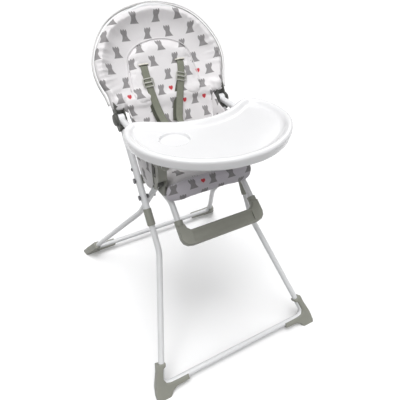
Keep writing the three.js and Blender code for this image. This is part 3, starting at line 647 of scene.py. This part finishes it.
def back_cover():
    V, F = [], []
    S = list(np.linspace(0, 1, 26) ** 1.35)
    n = len(rim_pts)
    spine_t = np.clip(rim_pts[:, 1], 60, 185)
    spine = np.stack([rim_pts[:, 0] * 0.0, 110 + (spine_t - 110) * 0.55], 1)
    layers = []
    for side in (0, 1):
        for s in (S if side == 0 else S[1:]):
            q = rim_pts + (spine - rim_pts) * s * 0.98
            d = dist_to(rim_pts, q)
            fr, bk = np.interp(d, *FRONT), np.interp(d, *BACK)
            lf = low_fade(q[:, 1])
            flat = np.interp(d, [0, 8, 200], [-12, -9, -10]) * 1.0
            fr = fr * lf + np.minimum(fr, flat) * (1 - lf)
            hs = np.clip((np.abs(q[:, 0]) - 141) / 8, 0, 1) * np.clip((66 - q[:, 1]) / 12, 0, 1)
            full = 15.0 * np.sqrt(1 - (1 - np.clip(d / 3.5, 0, 1)) ** 2)
            fr, bk = fr * (1 - hs) + full * hs, bk * (1 - hs) - full * hs
            nn = fr if side == 0 else bk
            if side == 0 and s == 0:
                nn = nn * 0 - 1
            layers.append(Bv(q[:, 0], q[:, 1], nn))
    k = len(S)
    for L in layers:
        V.extend(L)
    for i in range(k - 1):
        for j in range(n):
            a, b = i * n + j, i * n + (j + 1) % n
            F.append((a, b, b + n, a + n))
    # the back runs from the rim too
    off = k * n
    idx = lambda r, j: (j % n) if r == 0 else off + (r - 1) * n + (j % n)
    for i in range(k - 1):
        for j in range(n):
            F.append((idx(i + 1, j), idx(i + 1, j + 1), idx(i, j + 1), idx(i, j)))
    F.append(tuple((k - 1) * n + j for j in range(n)))
    F.append(tuple(idx(k - 1, j) for j in range(n))[::-1])
    o = mesh_obj("backrest_cover", V, F, M["cover"])
    puff(o, voxel=0.0052, pressure=3.0, cap=0.0045)
    # gathers and slack folds, after the fabric has settled
    co = get_co(o)
    x, t, nn = back_coords(co)
    q = np.stack([x, t], 1)
    d = dist_to(rim_pts, q)
    ang = np.arctan2(t - 140, x)
    arc = ang * 190
    side = np.exp(-((np.abs(x) - 165) / 55) ** 2) * np.clip((t - 30) / 30, 0, 1)
    front = np.clip((nn + 26) / 14, 0, 1)
    band = np.clip((d - 3) / 9, 0, 1) * np.clip((62 - d) / 44, 0, 1)
    pleat = (np.sin(arc / 3.1 + 2.2 * np.sin(arc / 23)) * 0.75 + np.sin(arc / 5.3 + 1.0)) * 0.75
    dn = front * band * pleat * (0.35 + 0.9 * side) * 1.0
    # long soft drag lines running in from the upper left and the low corners
    drag = np.sin((x * 0.55 + t * 0.83) / 11.0 + 1.4 * np.sin(t / 37)) * np.clip((-x - 40) / 60, 0, 1) + 0.6 * np.sin((-x * 0.5 + t * 0.86) / 14.0) * np.clip((x - 50) / 60, 0, 1)
    dn += front * np.clip((d - 10) / 22, 0, 1) * drag * 0.9
    dirn = np.array((0, -math.sin(BA), math.cos(BA)))
    set_co(o, co + dirn * (dn / 1000)[:, None])
    co = get_co(o)
    x, t, nn = back_coords(co)
    q = np.stack([x, t], 1)
    set_uv(o, np.stack([(x + 21) / 1000, (t + 8) / 1000], 1))
    # the back of the cover is a plain lining
    o.data.materials.append(M["back_cloth"])
    nrm = np.empty(len(o.data.polygons) * 3, np.float32)
    o.data.polygons.foreach_get("normal", nrm)
    cen = np.empty(len(o.data.polygons) * 3, np.float32)
    o.data.polygons.foreach_get("center", cen)
    pn = nrm.reshape(-1, 3) @ dirn
    cx, ct, cn = back_coords(cen.reshape(-1, 3).astype(float))
    pd = dist_to(rim_pts, np.stack([cx, ct], 1))
    back = (pn < -0.05) & (pd > 22)
    o.data.polygons.foreach_set("material_index", back.astype(np.int32))
    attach(o, "front_frame")
    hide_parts("backrest_pad")
    return o


cover = back_cover()
cover_co = get_co(cover)
cov_x, cov_t, cov_n = back_coords(cover_co)


def surf_n(x, t, r=7.0):
    """Height of the cover's front surface at (x, t)."""
    d2 = (cov_x - x) ** 2 + (cov_t - t) ** 2
    near = d2 < r * r
    if not near.any():
        near = d2 < (3 * r) ** 2
    return float(cov_n[near].max())


# rim piping: a white cord over a grey one, round the cover's outer edge
def rim_curve(dr, n_off, t0=30):
    keep = [i for i in range(len(rim_pts)) if rim_pts[i, 1] > t0]
    pts = rim_pts[keep]
    ang = np.argsort(np.arctan2(pts[:, 1] - 120, pts[:, 0]))
    # order from right bottom, over the top, to left bottom
    pts = pts[np.argsort(-np.arctan2(pts[:, 0], pts[:, 1] - 120) * -1)][::-1] if False else sorted(pts.tolist(), key=lambda p: -math.atan2(p[0], p[1] - 100))
    pts = np.array(pts)
    c = catmull(pts[::3], 160)
    t = np.gradient(c, axis=0)
    t /= np.linalg.norm(t, axis=1, keepdims=True)
    nrm = np.stack([t[:, 1], -t[:, 0]], 1)
    s = np.sign((nrm * (c - np.array((0, 140)))).sum(1))[:, None]
    c = c + nrm * s * dr
    return Bv(c[:, 0], c[:, 1], np.full(len(c), n_off))


o = piping("cover_piping", rim_curve(3.6, 3.5), 0.0021, M["piping"])
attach(o, "front_frame")
o = piping("cover_piping_back", rim_curve(2.6, -7.0), 0.0019, M["piping_grey"])
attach(o, "front_frame")

# ------------------------------------------------------------------ backrest insert: padded panel under an arched seam
def insert_outline():
    o = [(104 * math.cos(math.pi * i / 16), 146 + 62 * math.sin(math.pi * i / 16)) for i in range(17)]
    return np.array(o + [(-112, 90), (-112, 40), (-104, 13), (-60, 11), (0, 11), (60, 11), (104, 13), (112, 40), (112, 90)])


INS = catmull(insert_outline(), 120, closed=True)


def insert_pad():
    V, F = [], []
    S = np.linspace(0, 1, 18) ** 1.2
    n = len(INS)
    spine = np.stack([INS[:, 0] * 0, np.clip(INS[:, 1], 60, 150)], 1)
    base = np.array([surf_n(x, t, 10) for x, t in INS])
    rings = []
    for side in (0, 1):
        for s in (S if side == 0 else S[1:]):
            q = INS + (spine - INS) * s * 0.97
            d = dist_to(INS, q)
            h = np.interp(d, [0, 2, 6, 14, 30, 60, 120], [1.5, 4.0, 6.2, 8.2, 9.6, 10.2, 10.4])
            h = h * np.clip((q[:, 1] - 6) / 30, 0.25, 1)
            nn = base * (1 - s) + (-17.5) * s
            rings.append(Bv(q[:, 0], q[:, 1], nn + (h if side == 0 else -np.minimum(h, 4))))
    for L in rings:
        V.extend(L)
    k = len(S)
    off = k * n
    idx = lambda r, j: (j % n) if r == 0 else off + (r - 1) * n + (j % n)
    for i in range(k - 1):
        for j in range(n):
            a, b = i * n + j, i * n + (j + 1) % n
            F.append((a, b, b + n, a + n))
            F.append((idx(i + 1, j), idx(i + 1, j + 1), idx(i, j + 1), idx(i, j)))
    F.append(tuple((k - 1) * n + j for j in range(n)))
    F.append(tuple(idx(k - 1, j) for j in range(n))[::-1])
    o = mesh_obj("backrest_insert_pad", V, F, M["cover"])
    puff(o, voxel=0.0045, pressure=4.0, cap=0.005)
    co = get_co(o)
    x, t, nn = back_coords(co)
    d = dist_to(INS, np.stack([x, t], 1))
    dirn = np.array((0, -math.sin(BA), math.cos(BA)))
    # shallow pulls at the harness slots, slack folds down the middle
    dn = -5.5 * np.exp(-(((np.abs(x) - 58) / 20) ** 2 + ((t - 132) / 9) ** 2))
    dn += 0.8 * np.sin(x / 9.5 + 1.8 * np.sin(t / 31)) * np.clip((90 - t) / 60, 0, 1) * np.clip(d / 14, 0, 1)
    dn += 0.7 * np.sin((x + t * 0.4) / 17.0) * np.clip(d / 14, 0, 1)
    set_co(o, co + dirn * (dn / 1000)[:, None])
    x, t, nn = back_coords(get_co(o))
    set_uv(o, np.stack([(x + 21 + 5) / 1000, (t + 8 - 4) / 1000], 1))
    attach(o, "front_frame")
    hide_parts("backrest_insert")
    return o


ins = insert_pad()
ins_x, ins_t, ins_n = back_coords(get_co(ins))


def top_n(x, t, r=6.0):
    d2 = (ins_x - x) ** 2 + (ins_t - t) ** 2
    near = d2 < r * r
    return float(ins_n[near].max()) if near.any() else surf_n(x, t)


arch = [p for p in INS if p[1] > 60]
arch = sorted([tuple(p) for p in arch], key=lambda p: -math.atan2(p[0], p[1] - 100))
arch = catmull(np.array(arch)[::2], 90)
o = piping("insert_piping", Bv(arch[:, 0], arch[:, 1], np.array([surf_n(a, b, 8) + 0.9 for a, b in arch])), 0.0012, M["plain_cloth"])
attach(o, "front_frame")

# ------------------------------------------------------------------ lower back: the cover goes on down to the seat
def panel(name, left, right, mat, thick, nu=24, nv=30, push=None, uvshift=(0, 0)):
    """Padded or sheet fabric between two border curves, thick mm thick. push(u, v) adds mm along the face normal."""
    L, R = catmull(left, nv), catmull(right, nv)
    G = np.zeros((nv, nu, 3))
    for j in range(nu):
        G[:, j] = L + (R - L) * j / (nu - 1)
    du, dv = np.gradient(G, axis=1), np.gradient(G, axis=0)
    N = np.cross(du, dv)
    N /= np.linalg.norm(N, axis=2, keepdims=True)
    U, Vv = np.meshgrid(np.linspace(0, 1, nu), np.linspace(0, 1, nv))
    if push is not None:
        G = G + N * (push(U, Vv) / 1000)[..., None]
    th = thick(U, Vv) / 1000
    A, Bk = G + N * th[..., None] / 2, G - N * th[..., None] / 2
    V = np.concatenate([A.reshape(-1, 3), Bk.reshape(-1, 3)])
    F, m = [], nu * nv
    for i in range(nv - 1):
        for j in range(nu - 1):
            a = i * nu + j
            F.append((a, a + 1, a + nu + 1, a + nu))
            F.append((m + a + nu, m + a + nu + 1, m + a + 1, m + a))
    bd = [j for j in range(nu)] + [i * nu + nu - 1 for i in range(1, nv)] + [(nv - 1) * nu + j for j in range(nu - 2, -1, -1)] + [i * nu for i in range(nv - 2, 0, -1)]
    for a, b in zip(bd, bd[1:] + bd[:1]):
        F.append((b, a, m + a, m + b))
    o = mesh_obj(name, V, F, mat)
    return o


def lower_back():
    """From the foot of the backrest to the back of the seat: its top edge lies thin on the backrest cloth."""
    nx, T = 61, [46, 36, 27, 18, 10, 2, -8, -20, -34, -49, -64, -79, -94, -105, -114]
    half = np.interp(T, [-114, -94, -64, -33, -8, 12, 34], [118, 121, 125, 129, 134, 139, 139])
    deep = np.interp(T, [-114, -94, -64, -33, -8], [-12.5, -10.5, -8.0, -5.5, -3.5])
    rows = []
    for j, t in enumerate(T):
        X = np.linspace(-half[j], half[j], nx)
        if t >= 2:
            n = np.array([max(top_n(x, max(t, 19), 6), surf_n(x, max(t, 16), 7)) for x in X])
            n = np.convolve(np.pad(n, 4, mode="edge"), np.ones(9) / 9, "same")[4:-4] + 0.9
            n = np.minimum(n, 6.0)
            n = n + (-2.0 - n) * np.clip((20 - t) / 26, 0, 1)
        else:
            n = np.full(nx, deep[j]) + 2.2 * np.cos(np.clip(X / half[j], -1, 1) * math.pi / 2)
        rows.append(np.stack([X, np.full(nx, float(t)), n], 1))
    R = np.array(rows)
    fine = np.stack([catmull(R[:, i], 46) for i in range(nx)], 1)
    fx, ft, fn_ = fine[..., 0], fine[..., 1], fine[..., 2]
    fn_ = fn_ + np.clip((24 - ft) / 30, 0, 1) * (0.9 * np.sin(fx / 9.5 + 1.8 * np.sin(ft / 31)) + 0.7 * np.sin((fx + ft * 0.6) / 17.0))
    th = np.interp(ft, [-114, -100, -20, 6, 30, 46], [5, 9, 9, 5, 1.5, 0.8])
    e = np.clip((half[0] + 0 - np.abs(fx) + (half.max() - half[0])) / 8, 0.35, 1)
    th = th * e
    front = Bv(fx.ravel(), ft.ravel(), fn_.ravel())
    back = Bv(fx.ravel(), ft.ravel(), (fn_ - th).ravel())
    nv = fine.shape[0]
    V = np.concatenate([front, back])
    F, m = [], nx * nv
    for i in range(nv - 1):
        for j in range(nx - 1):
            a = i * nx + j
            F.append((a, a + 1, a + nx + 1, a + nx))
            F.append((m + a + nx, m + a + nx + 1, m + a + 1, m + a))
    bd = [j for j in range(nx)] + [i * nx + nx - 1 for i in range(1, nv)] + [(nv - 1) * nx + j for j in range(nx - 2, -1, -1)] + [i * nx for i in range(nv - 2, 0, -1)]
    for a, b in zip(bd, bd[1:] + bd[:1]):
        F.append((b, a, m + a, m + b))
    o = mesh_obj("cover_lower_back", V, F, M["cover"])
    subdivide(o)
    co = get_co(o)
    x, t, nn = back_coords(co)
    set_uv(o, np.stack([(x + 21 + 5) / 1000, (t + 8 - 4) / 1000], 1))
    return o


lb = lower_back()
tuple(P(0, 446, 672))
tuple(P(0, 398, 584))
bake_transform(lb)


# ------------------------------------------------------------------ seat pad and front roll
def rounded_block(name, prof, x0, x1, mat, n=60, ends=10, crown=None, run=16, least=0.62, run0=None):
    """A closed form from a (y, z) outline carried across x, with its two ends pulled in round."""
    pr = catmull(np.array(prof, float), n, closed=True)
    c = pr.mean(0)
    run0 = run0 or run
    X = [x0 + run0 * i / ends for i in range(ends + 1)] + list(np.linspace(x0 + run0, x1 - run, 26)[1:-1]) + [x1 - run * i / ends for i in range(ends, -1, -1)]
    E1 = [least + (1 - least) * math.sqrt(max(0, 1 - (1 - i / ends) ** 2)) for i in range(ends + 1)]
    S = E1 + [1.0] * 24 + E1[::-1]
    V, F = [], []
    for xx, s in zip(X, S):
        for y, z in pr:
            q = c + (np.array((y, z)) - c) * s
            dz = crown(xx, q[0], q[1]) if crown else 0.0
            V.append(P(xx, q[0], q[1] + dz))
    m = len(pr)
    for i in range(len(X) - 1):
        for j in range(m):
            a, b = i * m + j, i * m + (j + 1) % m
            F.append((a, b, b + m, a + m))
    F.append(tuple(range(m))[::-1])
    F.append(tuple((len(X) - 1) * m + j for j in range(m)))
    return mesh_obj(name, V, F, mat)


def seat_cushion():
    prof = [(217, 541), (219, 534), (228, 532.5), (300, 532.5), (368, 532.5), (380, 538), (383, 552), (378, 562), (366, 566), (330, 566), (296, 567), (262, 573), (236, 580), (222, 577), (216.5, 560)]
    o = rounded_block("seat_cushion", prof, -117, 117, M["cover"],
                      crown=lambda x, y, z: 3.5 * (1 - (x / 118) ** 2) * (1 if z > 552 else 0))
    puff(o, voxel=0.0048, pressure=4.0, cap=0.006)
    co = get_co(o)
    x, y, z = co[:, 0] * 1000, co[:, 1] * 1000 - OFF, co[:, 2] * 1000
    top = np.clip((z - 552) / 10, 0, 1)
    # two sewn channels across, a dimple at the crotch strap
    g = 0
    for yc in (275, 325):
        g = g - 3.2 * np.exp(-((y - yc) / 4.0) ** 2) * np.clip((112 - np.abs(x)) / 14, 0, 1)
    g = g - 5.0 * np.exp(-((x / 22) ** 2 + ((y - 256) / 9) ** 2))
    g = g + 0.6 * np.sin(x / 8.0 + 2 * np.sin(y / 17)) * np.clip((y - 220) / 20, 0, 1)
    co[:, 2] += g * top / 1000
    set_co(o, co)
    co = get_co(o)
    set_uv(o, np.stack([co[:, 0] + 0.013, np.where(co[:, 2] > 0.552, co[:, 1], co[:, 1])], 1))
    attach(o, "seat")
    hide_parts("seat_pad")
    return o


seat_cushion()


def front_roll():
    prof = [(212, 584), (208, 582.5), (203.5, 577), (200.5, 566), (199.5, 552), (200.5, 538), (203, 528), (206.5, 521.5), (209.5, 521), (211.5, 528), (212, 545), (212, 566)]
    # its darker cloth is painted shade from the tray above
    o = rounded_block("seat_front_roll", prof, -140, 133, M["seat_cloth"], n=72, ends=12, run=28, least=0.36, run0=46)
    puff(o, voxel=0.0036, pressure=4.0, cap=0.0045)
    co = get_co(o)
    x, y, z = co[:, 0] * 1000, co[:, 1] * 1000 - OFF, co[:, 2] * 1000
    front = np.clip((208 - y) / 6, 0, 1)
    dy = front * (0.7 * np.sin(x / 13.0 + 1.6 * np.sin(z / 15)) + 0.5 * np.sin((x + z) / 7.0))
    dy += front * (-2.4) * np.exp(-((z - 552) / 30) ** 2)
    co[:, 1] += dy / 1000
    # it never reaches back into the cushion
    co[:, 1] = np.where(co[:, 1] * 1000 - OFF > 213.2, (213.2 + OFF) / 1000, co[:, 1])
    co[:, 2] = np.maximum(co[:, 2], 0.5145)
    set_co(o, co)
    set_uv(o, np.stack([co[:, 0] + 0.02, co[:, 2] + (co[:, 1] - co[:, 1].min()) * 0.6], 1))
    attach(o, "seat")
    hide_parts("seat_apron")
    return o


front_roll()
c = catmull(np.array([(-138, 208, 556), (-131, 206.5, 568), (-118, 205.5, 577), (-98, 204.7, 583.4), (-50, 204.2, 585.9), (0, 204.1, 586.2), (50, 204.2, 585.9), (96, 204.4, 584.6), (114, 205, 581), (125, 206, 573), (130, 208, 562)]), 90)
# its darker piping cloth is painted shade under the tray
o = piping("seat_front_piping", [P(*p) for p in c], 0.0013, M["seat_piping_painted_shade"])
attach(o, "seat")


# ------------------------------------------------------------------ cloth side wings
def wing(s, name):
    # lower border, front to back, then the upper border: (x, y, z)
    lo = [(127, 228, 594), (128, 262, 589), (127, 300, 586), (125, 345, 583), (124, 380, 588), (126, 402, 606), (129, 419, 634), (133, 432, 660), (137, 442, 688)]
    hi = [(126, 230, 640), (129, 262, 654), (132, 298, 664), (134, 332, 671), (136, 366, 678), (138, 398, 686), (140, 420, 695), (141, 432, 702), (141, 442, 708)]
    left = [P(s * x, y, z) for x, y, z in lo]
    right = [P(s * x, y, z) for x, y, z in hi]
    th = lambda u, v: 2.4 + 0 * u
    o = panel(name, left, right, M["cover"], th, nu=22, nv=60,
              push=lambda u, v: s * (2.2 * np.sin(math.pi * u) + 0.9 * np.sin(v * 17 + 2.5 * u) * np.sin(math.pi * u) + 0.6 * np.sin(v * 31 - 4 * u)))
    subdivide(o)
    co = get_co(o)
    y, z = co[:, 1], co[:, 2]
    set_uv(o, np.stack([s * (y * 0.9 + z * 0.43) + 0.03, -y * 0.43 + z * 0.9 + 0.008], 1))
    a = catmull(np.array(lo, float), 40); b = catmull(np.array(hi, float), 40)
    tuple(P(0, 420, 690))
    tuple(P(0, 330, 600))
    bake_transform(o)
    pip = piping("wing_piping_" + ("right" if s > 0 else "left"), [P(s * p[0], p[1], p[2]) for p in catmull(np.array(lo[:4], float), 60)], 0.0014, M["piping"])
    tuple(P(0, 420, 690))
    tuple(P(0, 330, 600))
    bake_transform(pip)
    return o


def outer_wing(s, side):
    """The cloth that hangs from the armrest over the outside of the seat bracket."""
    lo = [(252, 566), (262, 550), (290, 540), (324, 543), (344, 554), (360, 578), (384, 620), (398, 652)]
    hi = [(252, 652), (263, 664), (285, 670), (310, 671), (335, 671), (360, 671), (382, 671), (398, 671)]
    o = panel("wing_outer_" + side, [P(s * 155.9, y, z) for y, z in lo], [P(s * 155.9, y, z) for y, z in hi], M["cover"], lambda u, v: 0.36 + 0 * u, nu=34, nv=70)
    co = get_co(o)
    y, z = co[:, 1] * 1000 - OFF, co[:, 2] * 1000
    dist = -(y * math.sin(57.4 * D) - z * math.cos(57.4 * D))
    free = np.clip((dist - 11) / 14, 0, 1)
    ease = np.clip((z - 545) / 30, 0, 1) * np.clip((668 - z) / 20, 0, 1)
    wav = 1.3 + 1.0 * np.sin((y * 0.9 + z * 0.5) / 11.0 + 1.5 * np.sin(z / 23)) + 0.5 * np.sin((y - z) / 7.0)
    co[:, 0] += s * free * np.maximum(wav, 0.05) * ease / 1000
    set_co(o, co)
    set_uv(o, np.stack([s * co[:, 1] * 0.96 + 0.022, co[:, 2] + 0.004], 1))
    a, b = catmull(np.array(lo, float), 40), catmull(np.array(hi, float), 40)
    mid = (a + b) / 2
    ar = 0.0
    for i in range(39):
        q = [a[i], a[i + 1], b[i + 1], b[i]]
        ar += 0.5 * abs(sum(q[k][0] * q[(k + 1) % 4][1] - q[(k + 1) % 4][0] * q[k][1] for k in range(4)))
    pl = [(252, 566), (262, 550), (290, 540), (324, 542)]
    pip = piping("wing_hem_" + side, [P(s * (157.0 + (0.3 if k < 30 else 0)), p[0], p[1] - 0.6) for k, p in enumerate(catmull(np.array(pl, float), 44))], 0.0013, M["piping"])
    hem2 = piping("wing_front_hem_" + side, [P(s * 157.0, p[0], p[1]) for p in catmull(np.array([(251.4, 566), (251, 600), (251, 651)], float), 40)], 0.0012, M["piping"])
    for ob in (o, pip, hem2):
        tuple(P(0, 398, 671))
        tuple(P(0, 300, 590))
        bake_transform(ob)
    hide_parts("side_wing_" + side)
    round(ar / 1e6, 5)


wing(1, "wing_cloth_right")
wing(-1, "wing_cloth_left")
outer_wing(1, "right")
outer_wing(-1, "left")

# ------------------------------------------------------------------ harness
def strap(name, pts, face, width, mat, n=90, th=0.0016):
    c = catmull(np.array(pts, float), n)
    f = np.array(face, float)
    ups = np.stack([np.interp(np.linspace(0, 1, n), np.linspace(0, 1, len(f)), f[:, k]) for k in range(3)], 1)
    return sweep(name, c, web_profile(width, th), mat, ups=ups)


fn = np.array((0, -math.sin(BA), math.cos(BA)))     # out of the backrest's front
up = np.array((0.0, 0, 1.0))
LEFT_PATH = [(-58.5, 137, -9), (-58.8, 133.5, 0.6), (-59.4, 127, 4.0), (-60.4, 112, 7.0), (-60.6, 84, 10.5), (-58, 52, 11), (-54.5, 22, 12), (-50.5, -8, 15), (-46, -34, 23), (-37, -62, 47),
             (-25, -92, 86), (-13, -118, 116), (-11, -127, 129)]
RIGHT_PATH = [(58.5, 137, -9), (58, 133.5, 0.6), (57, 127, 4.0), (53.5, 112, 7.0), (45.5, 86, 10.5), (34.5, 54, 11), (23.5, 22, 12), (12, -10, 16), (2.5, -38, 25), (2, -64, 49),
              (7, -92, 86), (12, -118, 116), (11, -127, 129)]
STRAPS = {}
for s, side, path in ((1, "right", RIGHT_PATH), (-1, "left", LEFT_PATH)):
    # from the slot, over the slider, down to the buckle
    n0 = top_n(s * 58, 133)
    pts = [B(x, t, n0 + n) for x, t, n in path]
    tw = np.array((s * 0.0, 0, 0))
    st = strap("shoulder_web_" + side, pts, [fn, fn, fn, fn, fn + np.array((0.15, -0.2, 0.2)), fn + np.array((0.1, -0.6, 0.4)), fn + np.array((0, -1.0, 0.2))], 0.0212, M["webbing"], n=140)
    tuple(P(0, 420, 690))
    tuple(P(0, 330, 600))
    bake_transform(st)
    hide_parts("shoulder_strap_" + side)
    STRAPS[s] = (pts, n0)
    # the free tail behind it, hanging from the slider a little to one side; its darker webbing is painted shade under
    # the strap
    tail = [B(x + dx, t, n0 + n + dn) for (x, t, n), dx, dn in zip(path[4:9], (-2, -7, -9.5, -10, -9), (-2.6, -4.0, -5, -7, -12))]
    tl = strap("shoulder_web_tail_" + side, tail, [fn, fn + np.array((-0.25, 0, 0)), fn + np.array((-0.35, 0, 0)), fn + np.array((-0.1, 0, 0))], 0.0150, M["web_dark"], n=70)
    tuple(P(0, 420, 690))
    tuple(P(0, 330, 600))
    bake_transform(tl)
    # cream edge bars of the harness slot
    a = [B(s * 58.5 - 15.5, 138.2, n0 + 1.0), B(s * 58.5, 138.8, n0 + 1.8), B(s * 58.5 + 15.5, 138.2, n0 + 1.0)]
    br = sweep("slot_edge_" + side, catmull(np.array(a), 24), [(-.0016, -.0012), (.0016, -.0012), (.0021, 0), (.0016, .0014), (-.0016, .0014), (-.0021, 0)], M["slot_bar"], ups=[fn] * 24)
    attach(br, "front_frame")
    # stitched dark lip of the slot
    a = [B(s * 58.5 - 14, 135.2, n0 + 1.0), B(s * 58.5, 135.5, n0 + 1.3), B(s * 58.5 + 14, 135.2, n0 + 1.0)]
    lp = sweep("slot_lip_" + side, catmull(np.array(a), 24), [(-.0012, -.0008), (.0012, -.0008), (.0012, .0008), (-.0012, .0008)], M["web_dark"], ups=[fn] * 24)
    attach(lp, "front_frame")


def slider(s, side):
    """Three-bar slider: a rounded frame and a middle bar, moulded in one piece."""
    pts, n0 = STRAPS[s]
    c0 = np.array(pts[4]) + fn * 0.0012
    d = np.array(pts[5]) - np.array(pts[3])
    d /= np.linalg.norm(d)
    r = np.cross(d, fn)
    r /= np.linalg.norm(r)
    f = np.cross(r, d)
    w, h, rad = 0.0150, 0.0118, 0.004
    out = []
    for cx, cy, a0 in ((w - rad, h - rad, 0), (-w + rad, h - rad, 90), (-w + rad, -h + rad, 180), (w - rad, -h + rad, 270)):
        for k in range(5):
            a = (a0 + k * 22.5) * D
            out.append(c0 + r * (cx + rad * math.cos(a)) + d * (cy + rad * math.sin(a)))
    pr = [(-.0013, -.0012), (.0013, -.0012), (.0019, -.0004), (.0017, .0012), (.0008, .0018), (-.0008, .0018), (-.0017, .0012), (-.0019, -.0004)]
    fr = sweep("strap_adjuster_" + side, out, pr, M["slider"], closed=True, ups=[f] * len(out))
    bar = [c0 + r * t + f * 0.0016 for t in np.linspace(-w + 0.001, w - 0.001, 8)]
    mb = sweep("adj_bar_" + side, bar, [(-.0018, -.0008), (.0018, -.0008), (.0021, .0003), (.0014, .0014), (-.0014, .0014), (-.0021, .0003)], M["slider"], ups=[f] * 8)
    for ob in (fr, mb):
        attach(ob, "front_frame")
    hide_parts("strap_slider_" + side)


M["slider"] = hard_material("slider_metal", (0.46, 0.46, 0.42), 0.08, 0.36, 900, 0.12, metal=0.35)
slider(1, "right")
slider(-1, "left")

# crotch strap, waist straps
cs = strap("crotch_web", [P(0, 256, 552), P(0, 256.0, 566), P(0, 255.8, 582), P(0, 256, 598)], [np.array((0, -1.0, 0))] * 2, 0.0255, M["webbing"], n=24)
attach(cs, "seat"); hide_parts("crotch_strap")
for s, side in ((1, "right"), (-1, "left")):
    pts = [P(s * 22.6, 256, 606), P(s * 48, 271, 603), P(s * 78, 296, 597), P(s * 104, 322, 590), P(s * 116, 333, 584)]
    ws = strap("waist_web_" + side, pts, [up * 0.7 + np.array((0, -.7, 0))] * 2, 0.024, M["webbing"], n=50)
    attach(ws, "seat"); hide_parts("waist_strap_" + side)

# ------------------------------------------------------------------ floor, light
def floor_piece():
    m, nt, b = tree("studio_floor")
    oc = coord(nt)
    c = mix(nt, noise(nt, oc, 3.0, 2), (0.90, 0.90, 0.905), (0.92, 0.92, 0.925))
    nt.links.new(c, b.inputs["Base Color"])
    b.inputs["Roughness"].default_value = 0.9
    b.inputs["Specular IOR Level"].default_value = 0.1
    b.inputs["Emission Color"].default_value = (1, 1, 1, 1)
    b.inputs["Emission Strength"].default_value = 0.09
    R, n = 9.0, 48
    V, F = [], []
    rr = [0.0] + [R * (i / 16) ** 1.3 for i in range(1, 17)]
    for r in rr[1:]:
        for k in range(n):
            a = 2 * math.pi * k / n
            V.append((r * math.cos(a), r * math.sin(a), -0.0006))
    V.append((0, 0, -0.0006))
    for i in range(len(rr) - 2):
        for k in range(n):
            a, b2 = i * n + k, i * n + (k + 1) % n
            F.append((a, a + n, b2 + n, b2))
    for k in range(n):
        F.append((len(V) - 1, k, (k + 1) % n))
    me = bpy.data.meshes.new("studio_floor")
    me.from_pydata(V, [], F)
    me.update()
    o = bpy.data.objects.new("studio_floor", me)
    o.visible_diffuse = False
    scene.collection.objects.link(o)
    me.materials.append(m)
    if me.polygons[0].normal.z < 0:
        me.flip_normals()


floor_piece()


def dome_piece():
    """Pale backdrop all round. It lights nothing and shades nothing."""
    m, nt, b = tree("studio_dome")
    oc = coord(nt)
    nt.links.new(mix(nt, noise(nt, oc, 0.4, 2), (0.97, 0.97, 0.975), (1.0, 1.0, 1.0)), b.inputs["Emission Color"])
    b.inputs["Base Color"].default_value = (0, 0, 0, 1)
    b.inputs["Specular IOR Level"].default_value = 0.0
    b.inputs["Emission Strength"].default_value = 1.0
    n, k = 64, 16
    V, F = [], []
    for i in range(k):
        a = math.pi / 2 * i / k
        for j in range(n):
            c = 2 * math.pi * j / n
            V.append((8.8 * math.cos(a) * math.cos(c), 8.8 * math.cos(a) * math.sin(c), 8.8 * math.sin(a) - 0.002))
    V.append((0, 0, 8.8))
    for i in range(k - 1):
        for j in range(n):
            F.append((i * n + j, (i + 1) * n + j, (i + 1) * n + (j + 1) % n, i * n + (j + 1) % n))
    for j in range(n):
        F.append(((k - 1) * n + j, len(V) - 1, (k - 1) * n + (j + 1) % n))
    me = bpy.data.meshes.new("studio_dome")
    me.from_pydata(V, [], F)
    me.update()
    o = bpy.data.objects.new("studio_dome", me)
    scene.collection.objects.link(o)
    me.materials.append(m)
    o.visible_diffuse = o.visible_glossy = o.visible_shadow = o.visible_transmission = False


dome_piece()
world = bpy.data.worlds.new("studio")
scene.world = world
world.use_nodes = True
bg = world.node_tree.nodes["Background"]
bg.inputs["Color"].default_value = (1.0, 1.0, 1.0, 1)
bg.inputs["Strength"].default_value = 0.28


def area(name, loc, target, size, power, color=(1, 1, 1)):
    d = bpy.data.lights.new(name, "AREA")
    d.shape, d.size, d.energy, d.color = "DISK", size, power, color
    o = bpy.data.objects.new(name, d)
    scene.collection.objects.link(o)
    o.location = loc
    o.rotation_euler = (Vector(target) - Vector(loc)).to_track_quat("-Z", "Y").to_euler()
    return o


area("key", (-1.3, -1.0, 2.4), (0, 0, 0.5), 0.9, 8)
area("rim", (1.5, 0.9, 1.9), (0, 0, 0.6), 0.8, 5)


def sun(name, direction, strength, angle):
    d = bpy.data.lights.new(name, "SUN")
    d.energy, d.angle = strength, angle * D
    o = bpy.data.objects.new(name, d)
    scene.collection.objects.link(o)
    o.rotation_euler = Vector(direction).to_track_quat("-Z", "Y").to_euler()
    return o


sun("sky_soft", (0.04, 0.02, -1.0), 1.98, 44)
sun("front_soft", (0.28, 0.72, -0.80), 0.85, 60)
